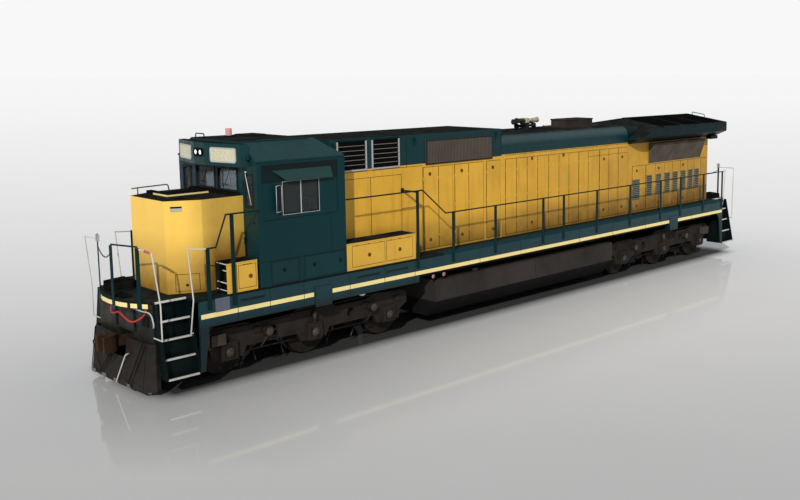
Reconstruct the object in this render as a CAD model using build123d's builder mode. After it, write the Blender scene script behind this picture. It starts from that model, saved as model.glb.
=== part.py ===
from build123d import *
import os

os.makedirs("parts", exist_ok=True)

# Diesel road locomotive with six driven axles, in millimetres.
# +X points to the cab end, +Y to the left side, +Z up; zero is midway along, at the flange bottoms.
# Spans are (low, high) pairs. Outlines are tables of points.

# Small allowances
seat_gap = 0.3
moving_gap = 6
overrun = 60

# Overall frame
half_length = 10770
half_width = 1510
deck_top = 1800
deck_plate = 50
deck_underside = deck_top - deck_plate
body_end = 9480

# Wheels and bogies
wheel_radius = 508
flange_height = 28
wheel_centre_z = wheel_radius + flange_height
tread_outer_y = 820
flange_root_y = 708
wheel_back_y = 680
axle_radius = 95
journal_radius = 80
journal_end_y = 1070
bogie_centre_x = 6600
axle_pitch = 2070
bogie_half_length = 2640
side_frame_y = (990, 1110)
axle_box_y = (970, 1175)
axle_box_half = 185
axle_box_z = (375, 730)
jaw_half = axle_box_half + seat_gap


def block(x_span, y_span, z_span, mode=Mode.ADD):
    """Add a box between the low and high values along each axis."""
    centre = [(low + high) / 2 for low, high in (x_span, y_span, z_span)]
    with Locations(tuple(centre)):
        Box(x_span[1] - x_span[0], y_span[1] - y_span[0], z_span[1] - z_span[0], mode=mode)


def prism(plane, outline, depth, mode=Mode.ADD):
    """Extrude a closed outline off its plane."""
    with BuildSketch(plane) as face:
        Polygon(*outline, align=None)
    extrude(face.sketch, amount=depth, dir=plane.z_dir, mode=mode)


def side_prism(outline, y_span, mode=Mode.ADD):
    """Extrude an outline of (x, z) points across the width."""
    prism(Plane.XZ.offset(-y_span[1]), outline, y_span[1] - y_span[0], mode)


def plan_prism(outline, z_span, mode=Mode.ADD):
    """Extrude an outline of (x, y) points upwards."""
    prism(Plane.XY.offset(z_span[0]), outline, z_span[1] - z_span[0], mode)


def end_prism(outline, x_span, mode=Mode.ADD):
    """Extrude an outline of (y, z) points along the length."""
    prism(Plane.YZ.offset(x_span[0]), outline, x_span[1] - x_span[0], mode)


def rod(start, end, radius, mode=Mode.ADD):
    """Add a round bar between two points."""
    direction = Vector(*end) - Vector(*start)
    plane = Plane(origin=start, z_dir=direction)
    with BuildSketch(plane) as face:
        Circle(radius)
    extrude(face.sketch, amount=direction.length, dir=plane.z_dir, mode=mode)


def bar(start, end, radius, side_count=8):
    """Add a straight many-sided bar between two points."""
    direction = Vector(*end) - Vector(*start)
    plane = Plane(origin=start, z_dir=direction)
    with BuildSketch(plane) as face:
        RegularPolygon(radius, side_count)
    extrude(face.sketch, amount=direction.length, dir=plane.z_dir)


def pipe(points, radius, side_count=8):
    """Add a bent many-sided bar with mitred corners."""
    with BuildLine() as path:
        Polyline(*points)
    start = Vector(*points[0])
    with BuildSketch(Plane(origin=start, z_dir=Vector(*points[1]) - start)) as face:
        RegularPolygon(radius, side_count)
    sweep(face.sketch, path=path.line, transition=Transition.RIGHT)


def flat_post(place, along, half_wide, thickness, z_span):
    """Add an upright flat bar that stands outside a place on an edge, lying along a direction."""
    run = Vector(*along).normalized()
    outward = Vector(run.Y, -run.X)
    centre = Vector(*place) + outward * seat_gap
    corners = (
        centre - run * half_wide,
        centre + run * half_wide,
        centre + run * half_wide + outward * thickness,
        centre - run * half_wide + outward * thickness,
    )
    plan_prism(tuple((corner.X, corner.Y) for corner in corners), z_span)


def cross_rod(x, y_span, z, radius, mode=Mode.ADD):
    """Add a round bar lying across the width."""
    rod((x, y_span[0], z), (x, y_span[1], z), radius, mode)


def mirrored(span, side):
    """Return a span on the left (1) or right (-1) side."""
    return tuple(sorted((span[0] * side, span[1] * side)))


def mirror_outline(outline):
    """Close a half outline with its reflection in the first coordinate."""
    return outline + tuple((-first, second) for first, second in reversed(outline))


def mirror_across(outline):
    """Close a half outline with its reflection in the second coordinate."""
    return outline + tuple((first, -second) for first, second in reversed(outline))


def turn_about(outline, end):
    """Return a plan outline for the front (1) or rear (-1) end."""
    return tuple((end * first, end * second) for first, second in outline)


def save(builder, name):
    """Label a finished piece and write its file."""
    builder.part.label = name
    export_step(builder.part, f"parts/{name}.step")


# Wheelsets: one solid each, turned about its axle line
wheelset_outline = (
    (journal_end_y, 0),
    (journal_end_y, journal_radius),
    (tread_outer_y, journal_radius),
    (tread_outer_y, wheel_radius),
    (flange_root_y, wheel_radius),
    (wheel_back_y, wheel_radius + flange_height),
    (wheel_back_y, axle_radius),
)
wheelset_places = tuple(
    bogie_x + offset
    for bogie_x in (bogie_centre_x, -bogie_centre_x)
    for offset in (axle_pitch, 0, -axle_pitch)
)

for number, axle_x in enumerate(wheelset_places, start=1):
    axle_line = (axle_x, 0, wheel_centre_z)
    with BuildPart() as wheelset:
        with BuildSketch(Plane(origin=axle_line, x_dir=(0, 1, 0), z_dir=(1, 0, 0))):
            Polygon(*mirror_outline(wheelset_outline), align=None)
        revolve(axis=Axis(axle_line, (0, 1, 0)))
    save(wheelset, f"wheelset_{number}")

# Bogies: side frames with open jaws, transoms, a centre beam and the brake beams
frame_top_z = 1060
frame_dip_z = 985
frame_crest_z = 1130
frame_chord_z = 570
jaw_foot_z = 385
jaw_roof_z = axle_box_z[1] + seat_gap
side_frame_half = (
    (380, frame_crest_z),
    (620, frame_dip_z),
    (1420, frame_dip_z),
    (1640, frame_top_z),
    (2440, frame_top_z),
    (bogie_half_length, 960),
    (bogie_half_length, 720),
    (2420, 600),
    (2390, jaw_foot_z),
    (axle_pitch + jaw_half, jaw_foot_z),
    (axle_pitch + jaw_half, jaw_roof_z),
    (axle_pitch - jaw_half, jaw_roof_z),
    (axle_pitch - jaw_half, jaw_foot_z),
    (1750, jaw_foot_z),
    (1650, frame_chord_z),
    (420, frame_chord_z),
    (320, jaw_foot_z),
    (jaw_half, jaw_foot_z),
    (jaw_half, jaw_roof_z),
)
frame_hole_x = 1010
frame_hole_z = 770
frame_hole_radius = 110
frame_hole_sides = 12
transom_half = 100
transom_x = 1035
transom_z = (640, frame_dip_z)
centre_beam_half_width = 280
centre_beam_z = (frame_dip_z, 1095)
end_beam_x = (bogie_half_length - 50, bogie_half_length)
end_beam_z = (800, 940)
brake_shoe_gap = 10
brake_shoe_depth = 70
brake_shoe_y = (710, side_frame_y[0])
brake_shoe_z = (440, 650)

# Motors hang on their axles; each row gives the axle's place and the side its motor lies on
motor_rows = ((axle_pitch, -1), (0, -1), (-axle_pitch, 1))
motor_half_width = 540
motor_outline = (
    (110, 660),
    (150, 760),
    (330, 880),
    (700, 880),
    (880, 740),
    (880, 380),
    (700, 240),
    (330, 240),
    (130, 350),
    (130, 640),
)
axle_cap_x = (-100, 160)
axle_cap_z = (wheel_centre_z + axle_radius + moving_gap, 770)
motor_lug_half_width = 130
motor_lug_z = (660, 760)
journal_bore_radius = journal_radius + seat_gap
journal_bore_end_y = journal_end_y + moving_gap
axle_cover_radius = 105
axle_cover_y = (axle_box_y[1], 1205)
cover_sides = 12

# Fittings outside each side frame
damper_radius = 38
damper_y = 1165
damper_z = (axle_box_z[1], 1010)
damper_lug_y = (side_frame_y[1], damper_y)
damper_lug_half = 30
damper_lug_depth = 40
brake_cylinder_x = (-1560, 1180)
brake_cylinder_z = 800
brake_cylinder_radius = 105
brake_cylinder_y = (side_frame_y[1], 1250)

for end_name, end in (("front", 1), ("rear", -1)):
    bogie_x = bogie_centre_x * end

    with BuildPart() as bogie_frame:
        for side in (1, -1):
            outline = tuple((bogie_x + x, z) for x, z in mirror_outline(side_frame_half))
            side_prism(outline, mirrored(side_frame_y, side))
        for hole_x in (frame_hole_x, -frame_hole_x):
            with BuildSketch(Plane.XZ):
                with Locations((bogie_x + hole_x, frame_hole_z)):
                    RegularPolygon(frame_hole_radius, frame_hole_sides)
            extrude(amount=side_frame_y[1] + overrun, both=True, mode=Mode.SUBTRACT)
        between_frames = (-side_frame_y[0], side_frame_y[0])
        for beam_x in (transom_x, -transom_x):
            beam_span = (bogie_x + beam_x - transom_half, bogie_x + beam_x + transom_half)
            block(beam_span, between_frames, transom_z)
        beam_reach = transom_x + transom_half
        beam_width = (-centre_beam_half_width, centre_beam_half_width)
        block((bogie_x - beam_reach, bogie_x + beam_reach), beam_width, centre_beam_z)
        for direction in (1, -1):
            near, far = mirrored(end_beam_x, direction)
            block((bogie_x + near, bogie_x + far), between_frames, end_beam_z)
        for axle_offset, direction in motor_rows:
            shoe_start = wheel_radius + flange_height + brake_shoe_gap
            shoe = mirrored((shoe_start, shoe_start + brake_shoe_depth), direction)
            shoe_x = (bogie_x + axle_offset + shoe[0], bogie_x + axle_offset + shoe[1])
            for side in (1, -1):
                block(shoe_x, mirrored(brake_shoe_y, side), brake_shoe_z)
    save(bogie_frame, f"bogie_frame_{end_name}")

    with BuildPart() as traction_motors:
        for axle_offset, direction in motor_rows:
            axle_x = bogie_x + axle_offset
            outline = tuple((axle_x + direction * x, z) for x, z in motor_outline)
            side_prism(outline, (-motor_half_width, motor_half_width))
            near, far = mirrored(axle_cap_x, direction)
            block((axle_x + near, axle_x + far), (-motor_half_width, motor_half_width), axle_cap_z)
            lug = mirrored((motor_outline[4][0], transom_x - transom_half), direction)
            lug_y = (-motor_lug_half_width, motor_lug_half_width)
            block((axle_x + lug[0], axle_x + lug[1]), lug_y, motor_lug_z)
    save(traction_motors, f"traction_motors_{end_name}")

    with BuildPart() as axle_boxes:
        for axle_offset, direction in motor_rows:
            axle_x = bogie_x + axle_offset
            for side in (1, -1):
                box_x = (axle_x - axle_box_half, axle_x + axle_box_half)
                block(box_x, mirrored(axle_box_y, side), axle_box_z)
                cover_start = (axle_x, axle_cover_y[0] * side, wheel_centre_z)
                cover_end = (axle_x, axle_cover_y[1] * side, wheel_centre_z)
                bar(cover_start, cover_end, axle_cover_radius, cover_sides)
                bore_y = mirrored((axle_box_y[0] - overrun, journal_bore_end_y), side)
                cross_rod(axle_x, bore_y, wheel_centre_z, journal_bore_radius, Mode.SUBTRACT)
        for side in (1, -1):
            damper_line_y = damper_y * side
            damper_start = (bogie_x, damper_line_y, damper_z[0])
            bar(damper_start, (bogie_x, damper_line_y, damper_z[1]), damper_radius)
            lug_x = (bogie_x - damper_lug_half, bogie_x + damper_lug_half)
            upper_lug = (damper_z[1] - damper_lug_depth, damper_z[1])
            block(lug_x, mirrored(damper_lug_y, side), upper_lug)
            for cylinder_x in brake_cylinder_x:
                centre_x = bogie_x + cylinder_x * end
                cylinder_start = (centre_x, brake_cylinder_y[0] * side, brake_cylinder_z)
                cylinder_end = (centre_x, brake_cylinder_y[1] * side, brake_cylinder_z)
                bar(cylinder_start, cylinder_end, brake_cylinder_radius, cover_sides)
    save(axle_boxes, f"axle_boxes_{end_name}")

# Underframe: deck plate with bowed ends, side sills, centre sill and end plates
step_x = (9530, 10170)
step_inner_y = 1120
stringer_plate = 25
bulkhead_plate = 30
platform_start_x = step_x[1] + stringer_plate
platform_bow = (
    (platform_start_x, 1000),
    (10310, 820),
    (10410, 630),
    (10490, 370),
    (10520, 60),
)
deck_corner = (
    (body_end, half_width),
    (step_x[0], half_width),
    (step_x[0], step_inner_y),
    (platform_start_x, step_inner_y),
    *platform_bow,
)
deck_left = mirror_outline(tuple(reversed(deck_corner)))
deck_outline = deck_left + tuple((-x, -y) for x, y in deck_left)

with BuildPart() as deck:
    plan_prism(deck_outline, (deck_underside, deck_top))
save(deck, "deck")

sill_plate = 50
sill_y = (half_width - sill_plate, half_width)
sill_bottom_z = 1400
skirt_bottom_z = 1235
skirt_rear_x = 3900
gusset_foot_z = 380
gusset_foot_x = (9400, 9500)
gusset_top_x = 9290
gusset_rise_x = -9130
jack_pad_x = (6400, 6820)
jack_pad_y = (1340, half_width - sill_plate)
jack_pad_z = (1175, 1600)
jack_face_y = (half_width, 1530)
sill_left_outline = (
    (body_end, deck_underside),
    (body_end, skirt_bottom_z),
    (gusset_foot_x[1], gusset_foot_z),
    (gusset_foot_x[0], gusset_foot_z),
    (gusset_top_x, skirt_bottom_z),
    (skirt_rear_x, skirt_bottom_z),
    (skirt_rear_x, sill_bottom_z),
    (gusset_rise_x, sill_bottom_z),
    (-gusset_top_x, skirt_bottom_z),
    (-gusset_foot_x[0], gusset_foot_z),
    (-gusset_foot_x[1], gusset_foot_z),
    (-body_end, skirt_bottom_z),
    (-body_end, deck_underside),
)

with BuildPart() as side_sills:
    for side in (1, -1):
        side_prism(sill_left_outline, mirrored(sill_y, side))
        for end in (1, -1):
            pad_x = mirrored(jack_pad_x, end)
            block(pad_x, mirrored((jack_pad_y[0], jack_face_y[1]), side), jack_pad_z)
save(side_sills, "side_sills")

# Centre sill with its draft boxes, bolsters, pivot pads and cross bearers
centre_sill_half_width = 330
centre_sill_z = (1330, deck_underside)
pilot_plate_x = (10195, 10220)
pilot_half_width = step_inner_y
pilot_plate_z = (690, 1655)
draft_box_x = (9560, pilot_plate_x[0])
draft_box_half_width = 300
draft_box_z = (700, centre_sill_z[0])
draft_pocket_x = (9640, draft_box_x[1] + overrun)
draft_pocket_half_width = 250
coupler_pin_x = 9800
coupler_pin_radius = 45
shank_z = (820, 990)
draft_pocket_z = (shank_z[0] - seat_gap, 1060)
bolster_half_length = 420
bolster_half_width = 1300
bolster_z = (1420, deck_underside)
pivot_pad_radius = 250
pivot_pad_z = (centre_beam_z[1] + seat_gap, centre_sill_z[0])
cross_bearer_places = (-8700, -4800, -3700, -2000, -200, 1600, 3450, 4700, 8600)
cross_bearer_plate = 24
cross_bearer_z = (1560, deck_underside)

with BuildPart() as cross_bearers:
    for side in (1, -1):
        bearer_y = mirrored((centre_sill_half_width + seat_gap, sill_y[0] - seat_gap), side)
        for bearer_x in cross_bearer_places:
            block((bearer_x, bearer_x + cross_bearer_plate), bearer_y, cross_bearer_z)
        bolster_y = mirrored((centre_sill_half_width + seat_gap, bolster_half_width), side)
        for end in (1, -1):
            bolster_x = (bogie_centre_x - bolster_half_length, bogie_centre_x + bolster_half_length)
            block(mirrored(bolster_x, end), bolster_y, bolster_z)
save(cross_bearers, "cross_bearers")

with BuildPart() as centre_sill:
    sill_width = (-centre_sill_half_width, centre_sill_half_width)
    block((-pilot_plate_x[0], pilot_plate_x[0]), sill_width, centre_sill_z)
    for end in (1, -1):
        draft_width = (-draft_box_half_width, draft_box_half_width)
        block(mirrored(draft_box_x, end), draft_width, draft_box_z)
        pocket_width = (-draft_pocket_half_width, draft_pocket_half_width)
        block(mirrored(draft_pocket_x, end), pocket_width, draft_pocket_z, Mode.SUBTRACT)
        pin_x = coupler_pin_x * end
        rod((pin_x, 0, draft_box_z[0]), (pin_x, 0, draft_box_z[1]), coupler_pin_radius)
        pad_x = bogie_centre_x * end
        rod((pad_x, 0, pivot_pad_z[0]), (pad_x, 0, pivot_pad_z[1]), pivot_pad_radius)
save(centre_sill, "centre_sill")

# Couplers: shank, head and knuckle, each turning on its pin
shank_half_width = 80
shank_tail_x = 9690
coupler_head_z = (745, 1065)
coupler_half_outline = (
    (shank_tail_x, shank_half_width),
    (10430, shank_half_width),
    (10510, 150),
    (10600, 185),
    (half_length, 215),
    (half_length, 150),
    (10640, 60),
    (10640, -60),
    (half_length, -60),
    (half_length, -165),
    (10600, -185),
    (10510, -150),
    (10430, -shank_half_width),
    (shank_tail_x, -shank_half_width),
)
coupler_head_start = 10430

for end_name, end in (("front", 1), ("rear", -1)):
    with BuildPart() as coupler:
        plan_prism(turn_about(coupler_half_outline, end), coupler_head_z)
        shank_span = mirrored((shank_tail_x - overrun, coupler_head_start), end)
        cut_y = (-shank_half_width - overrun, shank_half_width + overrun)
        block(shank_span, cut_y, (coupler_head_z[0] - overrun, shank_z[0]), Mode.SUBTRACT)
        block(shank_span, cut_y, (shank_z[1], coupler_head_z[1] + overrun), Mode.SUBTRACT)
        pin_x = coupler_pin_x * end
        hole_bottom = (pin_x, 0, shank_z[0] - overrun)
        hole_top = (pin_x, 0, shank_z[1] + overrun)
        rod(hole_bottom, hole_top, coupler_pin_radius + seat_gap, Mode.SUBTRACT)
    save(coupler, f"coupler_{end_name}")

# End plates, the platform's bowed edge and the snow plough
platform_edge = (
    (pilot_plate_x[1], platform_bow[0][1] - (pilot_plate_x[1] - pilot_plate_x[0])),
    *platform_bow[1:],
)
platform_edge_z = (1655, deck_underside)
pilot_opening_half_width = 300
pilot_opening_z = (700, 1110)
pilot_foot_z = 330

with BuildPart() as end_plates:
    for end in (1, -1):
        plan_prism(turn_about(mirror_across(platform_edge), end), platform_edge_z)
        plate_width = (-pilot_half_width, pilot_half_width)
        block(mirrored(pilot_plate_x, end), plate_width, (pilot_plate_z[0], platform_edge_z[1]))
        opening_x = mirrored((pilot_plate_x[0] - overrun, pilot_plate_x[1] + seat_gap), end)
        opening_width = (-pilot_opening_half_width, pilot_opening_half_width)
        block(opening_x, opening_width, pilot_opening_z, Mode.SUBTRACT)
    pilot_width = (-pilot_half_width, pilot_half_width)
    block(mirrored(pilot_plate_x, -1), pilot_width, (pilot_foot_z, pilot_opening_z[0]))
save(end_plates, "end_plates")

plough_plate = 30
plough_z = (110, 1030)
plough_foot = (
    (10510, 0),
    (10470, 1070),
    (10270, 1215),
)
plough_brow = (
    (10390, 0),
    (10350, 1070),
    (pilot_plate_x[1] + plough_plate + seat_gap, 1215),
)
plough_opening_half_width = 330
plough_opening_bottom_z = 640
plough_rib_plate = 25
plough_rib_depth = 150
plough_rib_places = (-820, -430, 405, 795)


def plough_section(outer):
    """Close the plough plate's outline from its outer line."""
    inner = tuple((x - plough_plate, y) for x, y in reversed(outer))
    half = outer + inner
    other = tuple((x, -y) for x, y in reversed(half))
    return half + other[1:-1]


with BuildPart() as snow_plough:
    with BuildSketch(Plane.XY.offset(plough_z[0])) as foot_face:
        Polygon(*plough_section(plough_foot), align=None)
    with BuildSketch(Plane.XY.offset(plough_z[1])) as brow_face:
        Polygon(*plough_section(plough_brow), align=None)
    loft(ruled=True)
    opening_width = (-plough_opening_half_width, plough_opening_half_width)
    opening_z = (plough_opening_bottom_z, plough_z[1] + overrun)
    block((pilot_plate_x[1], half_length), opening_width, opening_z, Mode.SUBTRACT)
    for rib_y in plough_rib_places:
        rib_x = (pilot_plate_x[1], pilot_plate_x[1] + plough_rib_depth)
        block(rib_x, (rib_y, rib_y + plough_rib_plate), (pilot_plate_z[0], plough_z[1]))
save(snow_plough, "snow_plough")

# Steps at the four corners: each row gives a tread's outer edge and its top
tread_rows = (
    (1230, 1450),
    (1290, 1100),
    (1385, 745),
    (half_width, 390),
)
tread_depth = 190
tread_plate = 30
riser_plate = 12
bulkhead_inner_y = step_inner_y - tread_depth
stringer_foot_y = half_width - tread_depth

with BuildPart() as steps:
    for end in (1, -1):
        for side in (1, -1):
            inner_x = mirrored((step_x[0] - bulkhead_plate, step_x[0]), end)
            outer_x = mirrored((step_x[1], step_x[1] + stringer_plate), end)
            well_x = mirrored(step_x, end)
            for plate_x, foot_y in ((inner_x, bulkhead_inner_y), (outer_x, stringer_foot_y)):
                plate_outline = (
                    (bulkhead_inner_y, deck_underside),
                    (tread_rows[0][0], deck_underside),
                    (tread_rows[-1][0], tread_rows[-1][1] + tread_plate),
                    (tread_rows[-1][0], tread_rows[-1][1] - tread_plate),
                    (foot_y, tread_rows[-1][1] - tread_plate),
                    (bulkhead_inner_y, tread_rows[0][1]),
                )
                end_prism(tuple((side * y, z) for y, z in plate_outline), plate_x)
            for row, (tread_edge_y, tread_top) in enumerate(tread_rows):
                tread_y = mirrored((tread_edge_y - tread_depth, tread_edge_y), side)
                block(well_x, tread_y, (tread_top - tread_plate, tread_top))
                riser_y = (tread_edge_y - tread_depth, tread_edge_y - tread_depth + riser_plate)
                riser_top = tread_rows[row - 1][1] if row else deck_underside
                block(well_x, mirrored(riser_y, side), (tread_top - tread_plate, riser_top))
save(steps, "steps")

# Fuel tank slung between the bogies
tank_x = (-3620, 3300)
tank_half_outline = (
    (900, centre_sill_z[0]),
    (900, 1160),
    (1400, 1160),
    (1400, 640),
    (1080, 250),
)

with BuildPart() as fuel_tank:
    tank_outline = tuple((-y, z) for y, z in mirror_outline(tank_half_outline))
    end_prism(tank_outline, tank_x)
save(fuel_tank, "fuel_tank")

# Nose: a hollow box with canted corners in front of the cab
sheet = 40
nose_top_z = 3615
nose_front_x = 9665
nose_half_width = 980
cab_front_x = 8120
nose_cant_x = 9040
nose_front_half_width = 670
nose_outline = (
    (cab_front_x, nose_half_width),
    (nose_cant_x, nose_half_width),
    (nose_front_x, nose_front_half_width),
)
nose_inner_outline = (
    (cab_front_x - overrun, nose_half_width - sheet),
    (nose_cant_x - sheet / 2, nose_half_width - sheet),
    (nose_front_x - sheet, nose_front_half_width - sheet),
)

with BuildPart() as nose:
    plan_prism(mirror_across(nose_outline), (deck_top, nose_top_z))
    inner_z = (deck_top - overrun, nose_top_z - sheet)
    plan_prism(mirror_across(nose_inner_outline), inner_z, Mode.SUBTRACT)
save(nose, "nose")

# Cab walls, roof and brow
cab_rear_x = 5970
cab_eave_z = 4320
cab_top_z = 4680
cab_top_half_width = 975
cab_wall = 60
cab_rear_top_x = 6380
cab_inner_x = (cab_rear_x + cab_wall, cab_front_x - cab_wall)
cab_inner_half_width = half_width - cab_wall
side_window_x = (6640, 7525)
side_window_z = (3205, 3870)
side_mullion_x = (7070, 7105)
side_recess_x = (6160, 8020)
side_recess_z = (3120, 4230)
side_recess_depth = 14

with BuildPart() as cab_sides:
    for side in (1, -1):
        wall_y = mirrored((cab_inner_half_width, half_width), side)
        block((cab_rear_x, cab_front_x), wall_y, (deck_top, cab_eave_z))
        recess_y = mirrored((half_width - side_recess_depth, half_width + overrun), side)
        block(side_recess_x, recess_y, side_recess_z, Mode.SUBTRACT)
        opening_y = mirrored((cab_inner_half_width - overrun, half_width + overrun), side)
        block(side_window_x, opening_y, side_window_z, Mode.SUBTRACT)
save(cab_sides, "cab_sides")

# Windows through the front wall; each row gives the span across and the span in height
front_window_rows = (
    ((70, 790), (3690, 4120)),
    ((-790, -70), (3690, 4120)),
    ((-1330, -1030), (3450, 4060)),
)
front_door_y = (1010, 1420)
front_door_z = (2410, 4130)
rear_door_y = (-1420, -1030)
rear_window_y = (1060, 1390)
rear_window_z = (3300, 4000)
door_gap = 6
door_plate = 40
door_z = (front_door_z[0] + door_gap, front_door_z[1] - door_gap)
hinge_offset = 20
hinge_pin_radius = 7
hinge_knuckle_radius = 13
hinge_knuckle_half = 45
hinge_web_plate = 8
hinge_leaf_reach = 75
hinge_lug_plate = 12
hinge_lug_reach = 25
hinge_heights = (2700, 3850)


def hinge_line(face_x, edge_y, out, into):
    """Return a door's hinge line: out is the way it opens, into the way the door lies from its edge."""
    return face_x + out * hinge_offset, edge_y + into * door_gap / 2


def span(first, second):
    """Return two values in rising order."""
    return tuple(sorted((first, second)))


def wall_hinge(face_x, edge_y, out, into):
    """Add the fixed pins and lugs of a door's hinges."""
    axis_x, axis_y = hinge_line(face_x, edge_y, out, into)
    for height in hinge_heights:
        reach = hinge_knuckle_half + door_gap
        rod(
            (axis_x, axis_y, height - reach - hinge_lug_plate),
            (axis_x, axis_y, height + reach + hinge_lug_plate),
            hinge_pin_radius,
        )
        for low in (height - reach - hinge_lug_plate, height + reach):
            lug_z = (low, low + hinge_lug_plate)
            tip_x = axis_x + out * hinge_pin_radius
            block(span(face_x, tip_x), span(edge_y - into * hinge_lug_reach, edge_y), lug_z)
            tip_span = span(axis_x - out * hinge_pin_radius, tip_x)
            block(tip_span, span(edge_y, axis_y + into * hinge_pin_radius), lug_z)


def door_hinge(face_x, edge_y, out, into):
    """Add the knuckles and leaves of a door's hinges, bored for their pins."""
    axis_x, axis_y = hinge_line(face_x, edge_y, out, into)
    web_start_y = edge_y + into * (door_gap + seat_gap)
    for height in hinge_heights:
        knuckle_z = (height - hinge_knuckle_half, height + hinge_knuckle_half)
        rod((axis_x, axis_y, knuckle_z[0]), (axis_x, axis_y, knuckle_z[1]), hinge_knuckle_radius)
        block(span(face_x, axis_x), span(web_start_y, web_start_y + into * hinge_web_plate), knuckle_z)
        leaf_y = span(web_start_y, web_start_y + into * hinge_leaf_reach)
        block(span(face_x, face_x + out * hinge_web_plate), leaf_y, knuckle_z)
        bore_radius = hinge_pin_radius + seat_gap
        rod((axis_x, axis_y, knuckle_z[0]), (axis_x, axis_y, knuckle_z[1]), bore_radius, Mode.SUBTRACT)


with BuildPart() as cab_ends:
    end_width = (-cab_inner_half_width, cab_inner_half_width)
    front_x = (cab_inner_x[1], cab_front_x)
    rear_x = (cab_rear_x, cab_inner_x[0])
    through_front = (front_x[0] - overrun, front_x[1] + overrun)
    through_rear = (rear_x[0] - overrun, rear_x[1] + overrun)
    block(front_x, end_width, (deck_top, cab_eave_z))
    block(rear_x, end_width, (deck_top, cab_eave_z))
    for window_y, window_z in front_window_rows:
        block(through_front, window_y, window_z, Mode.SUBTRACT)
    block(through_front, front_door_y, front_door_z, Mode.SUBTRACT)
    block(through_rear, rear_door_y, front_door_z, Mode.SUBTRACT)
    block(through_rear, rear_window_y, rear_window_z, Mode.SUBTRACT)
    wall_hinge(cab_front_x, front_door_y[0], 1, 1)
    wall_hinge(cab_rear_x, rear_door_y[1], -1, -1)
save(cab_ends, "cab_ends")

door_window_y_inset = 70
door_window_z = (3400, 4040)

with BuildPart() as front_cab_door:
    door_y = (front_door_y[0] + door_gap, front_door_y[1] - door_gap)
    door_x = (cab_front_x - door_plate, cab_front_x)
    block(door_x, door_y, door_z)
    pane_y = (door_y[0] + door_window_y_inset, door_y[1] - door_window_y_inset)
    block((door_x[0] - overrun, door_x[1] + overrun), pane_y, door_window_z, Mode.SUBTRACT)
    door_hinge(cab_front_x, front_door_y[0], 1, 1)
save(front_cab_door, "front_cab_door")

with BuildPart() as rear_cab_door:
    door_y = (rear_door_y[0] + door_gap, rear_door_y[1] - door_gap)
    door_x = (cab_rear_x, cab_rear_x + door_plate)
    block(door_x, door_y, door_z)
    pane_y = (door_y[0] + door_window_y_inset, door_y[1] - door_window_y_inset)
    block((door_x[0] - overrun, door_x[1] + overrun), pane_y, door_window_z, Mode.SUBTRACT)
    door_hinge(cab_rear_x, rear_door_y[1], -1, -1)
save(rear_cab_door, "rear_cab_door")

# Brow over the windscreen: a centre facet for the lamps and two canted facets for the blank boards
brow_outline = (
    (cab_front_x, 1240),
    (8272, 1200),
    (8487, 200),
)
brow_z = (4200, 4650)
hatch_x = (6850, 7310)
hatch_y = (-560, -60)
hatch_rise = 60
roof_plate = 60
roof_half_outline = (
    (half_width, cab_eave_z),
    (cab_top_half_width, cab_top_z),
)
roof_inner_half = (
    (cab_inner_half_width, cab_eave_z),
    (cab_top_half_width - roof_plate, cab_top_z - roof_plate),
)

with BuildPart() as cab_roof:
    end_prism(mirror_outline(roof_half_outline), (cab_rear_x, cab_front_x))
    side_prism(
        (
            (cab_rear_x - overrun, cab_eave_z),
            (cab_rear_x, cab_eave_z),
            (cab_rear_top_x, cab_top_z),
            (cab_rear_top_x, cab_top_z + overrun),
            (cab_rear_x - overrun, cab_top_z + overrun),
        ),
        (-half_width - overrun, half_width + overrun),
        Mode.SUBTRACT,
    )
    end_prism(mirror_outline(roof_inner_half), (cab_rear_top_x, cab_inner_x[1]), Mode.SUBTRACT)
    plan_prism(mirror_across(brow_outline), brow_z)
    block(hatch_x, hatch_y, (cab_top_z, cab_top_z + hatch_rise))
save(cab_roof, "cab_roof")

# Glass panes: those of the fixed windows in one piece, those of the doors in others
pane_thickness = 8
pane_setback = 26
pane_edge = seat_gap

with BuildPart() as cab_glass:
    front_pane_x = (cab_front_x - pane_setback - pane_thickness, cab_front_x - pane_setback)
    rear_pane_x = (cab_rear_x + pane_setback, cab_rear_x + pane_setback + pane_thickness)
    for window_y, window_z in front_window_rows:
        pane_y = (window_y[0] + pane_edge, window_y[1] - pane_edge)
        block(front_pane_x, pane_y, (window_z[0] + pane_edge, window_z[1] - pane_edge))
    pane_y = (rear_window_y[0] + pane_edge, rear_window_y[1] - pane_edge)
    block(rear_pane_x, pane_y, (rear_window_z[0] + pane_edge, rear_window_z[1] - pane_edge))
    for side in (1, -1):
        outer_y = half_width - pane_setback
        side_pane_y = mirrored((outer_y - pane_thickness, outer_y), side)
        pane_z = (side_window_z[0] + pane_edge, side_window_z[1] - pane_edge)
        block((side_window_x[0] + pane_edge, side_window_x[1] - pane_edge), side_pane_y, pane_z)
save(cab_glass, "cab_glass")

for door_name, door_span, pane_x in (
    ("front_door_glass", front_door_y, cab_front_x - door_plate / 2),
    ("rear_door_glass", rear_door_y, cab_rear_x + door_plate / 2),
):
    with BuildPart() as door_glass:
        inset = door_gap + door_window_y_inset + pane_edge
        pane_y = (door_span[0] + inset, door_span[1] - inset)
        pane_z = (door_window_z[0] + pane_edge, door_window_z[1] - pane_edge)
        block((pane_x - pane_thickness / 2, pane_x + pane_thickness / 2), pane_y, pane_z)
    save(door_glass, door_name)

# Side window fittings: awning over the window, wind deflector in front of it, centre bar
wall_face_y = half_width - side_recess_depth
awning_x = (6330, 7740)
awning_foot_front_x = 7450
awning_z = (3885, 4110)
awning_foot_y = 1590
awning_plate = 12
deflector_x = (7560, 7735)
deflector_z = (3280, 3810)
deflector_tip_y = 1585
deflector_plate = 10

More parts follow.
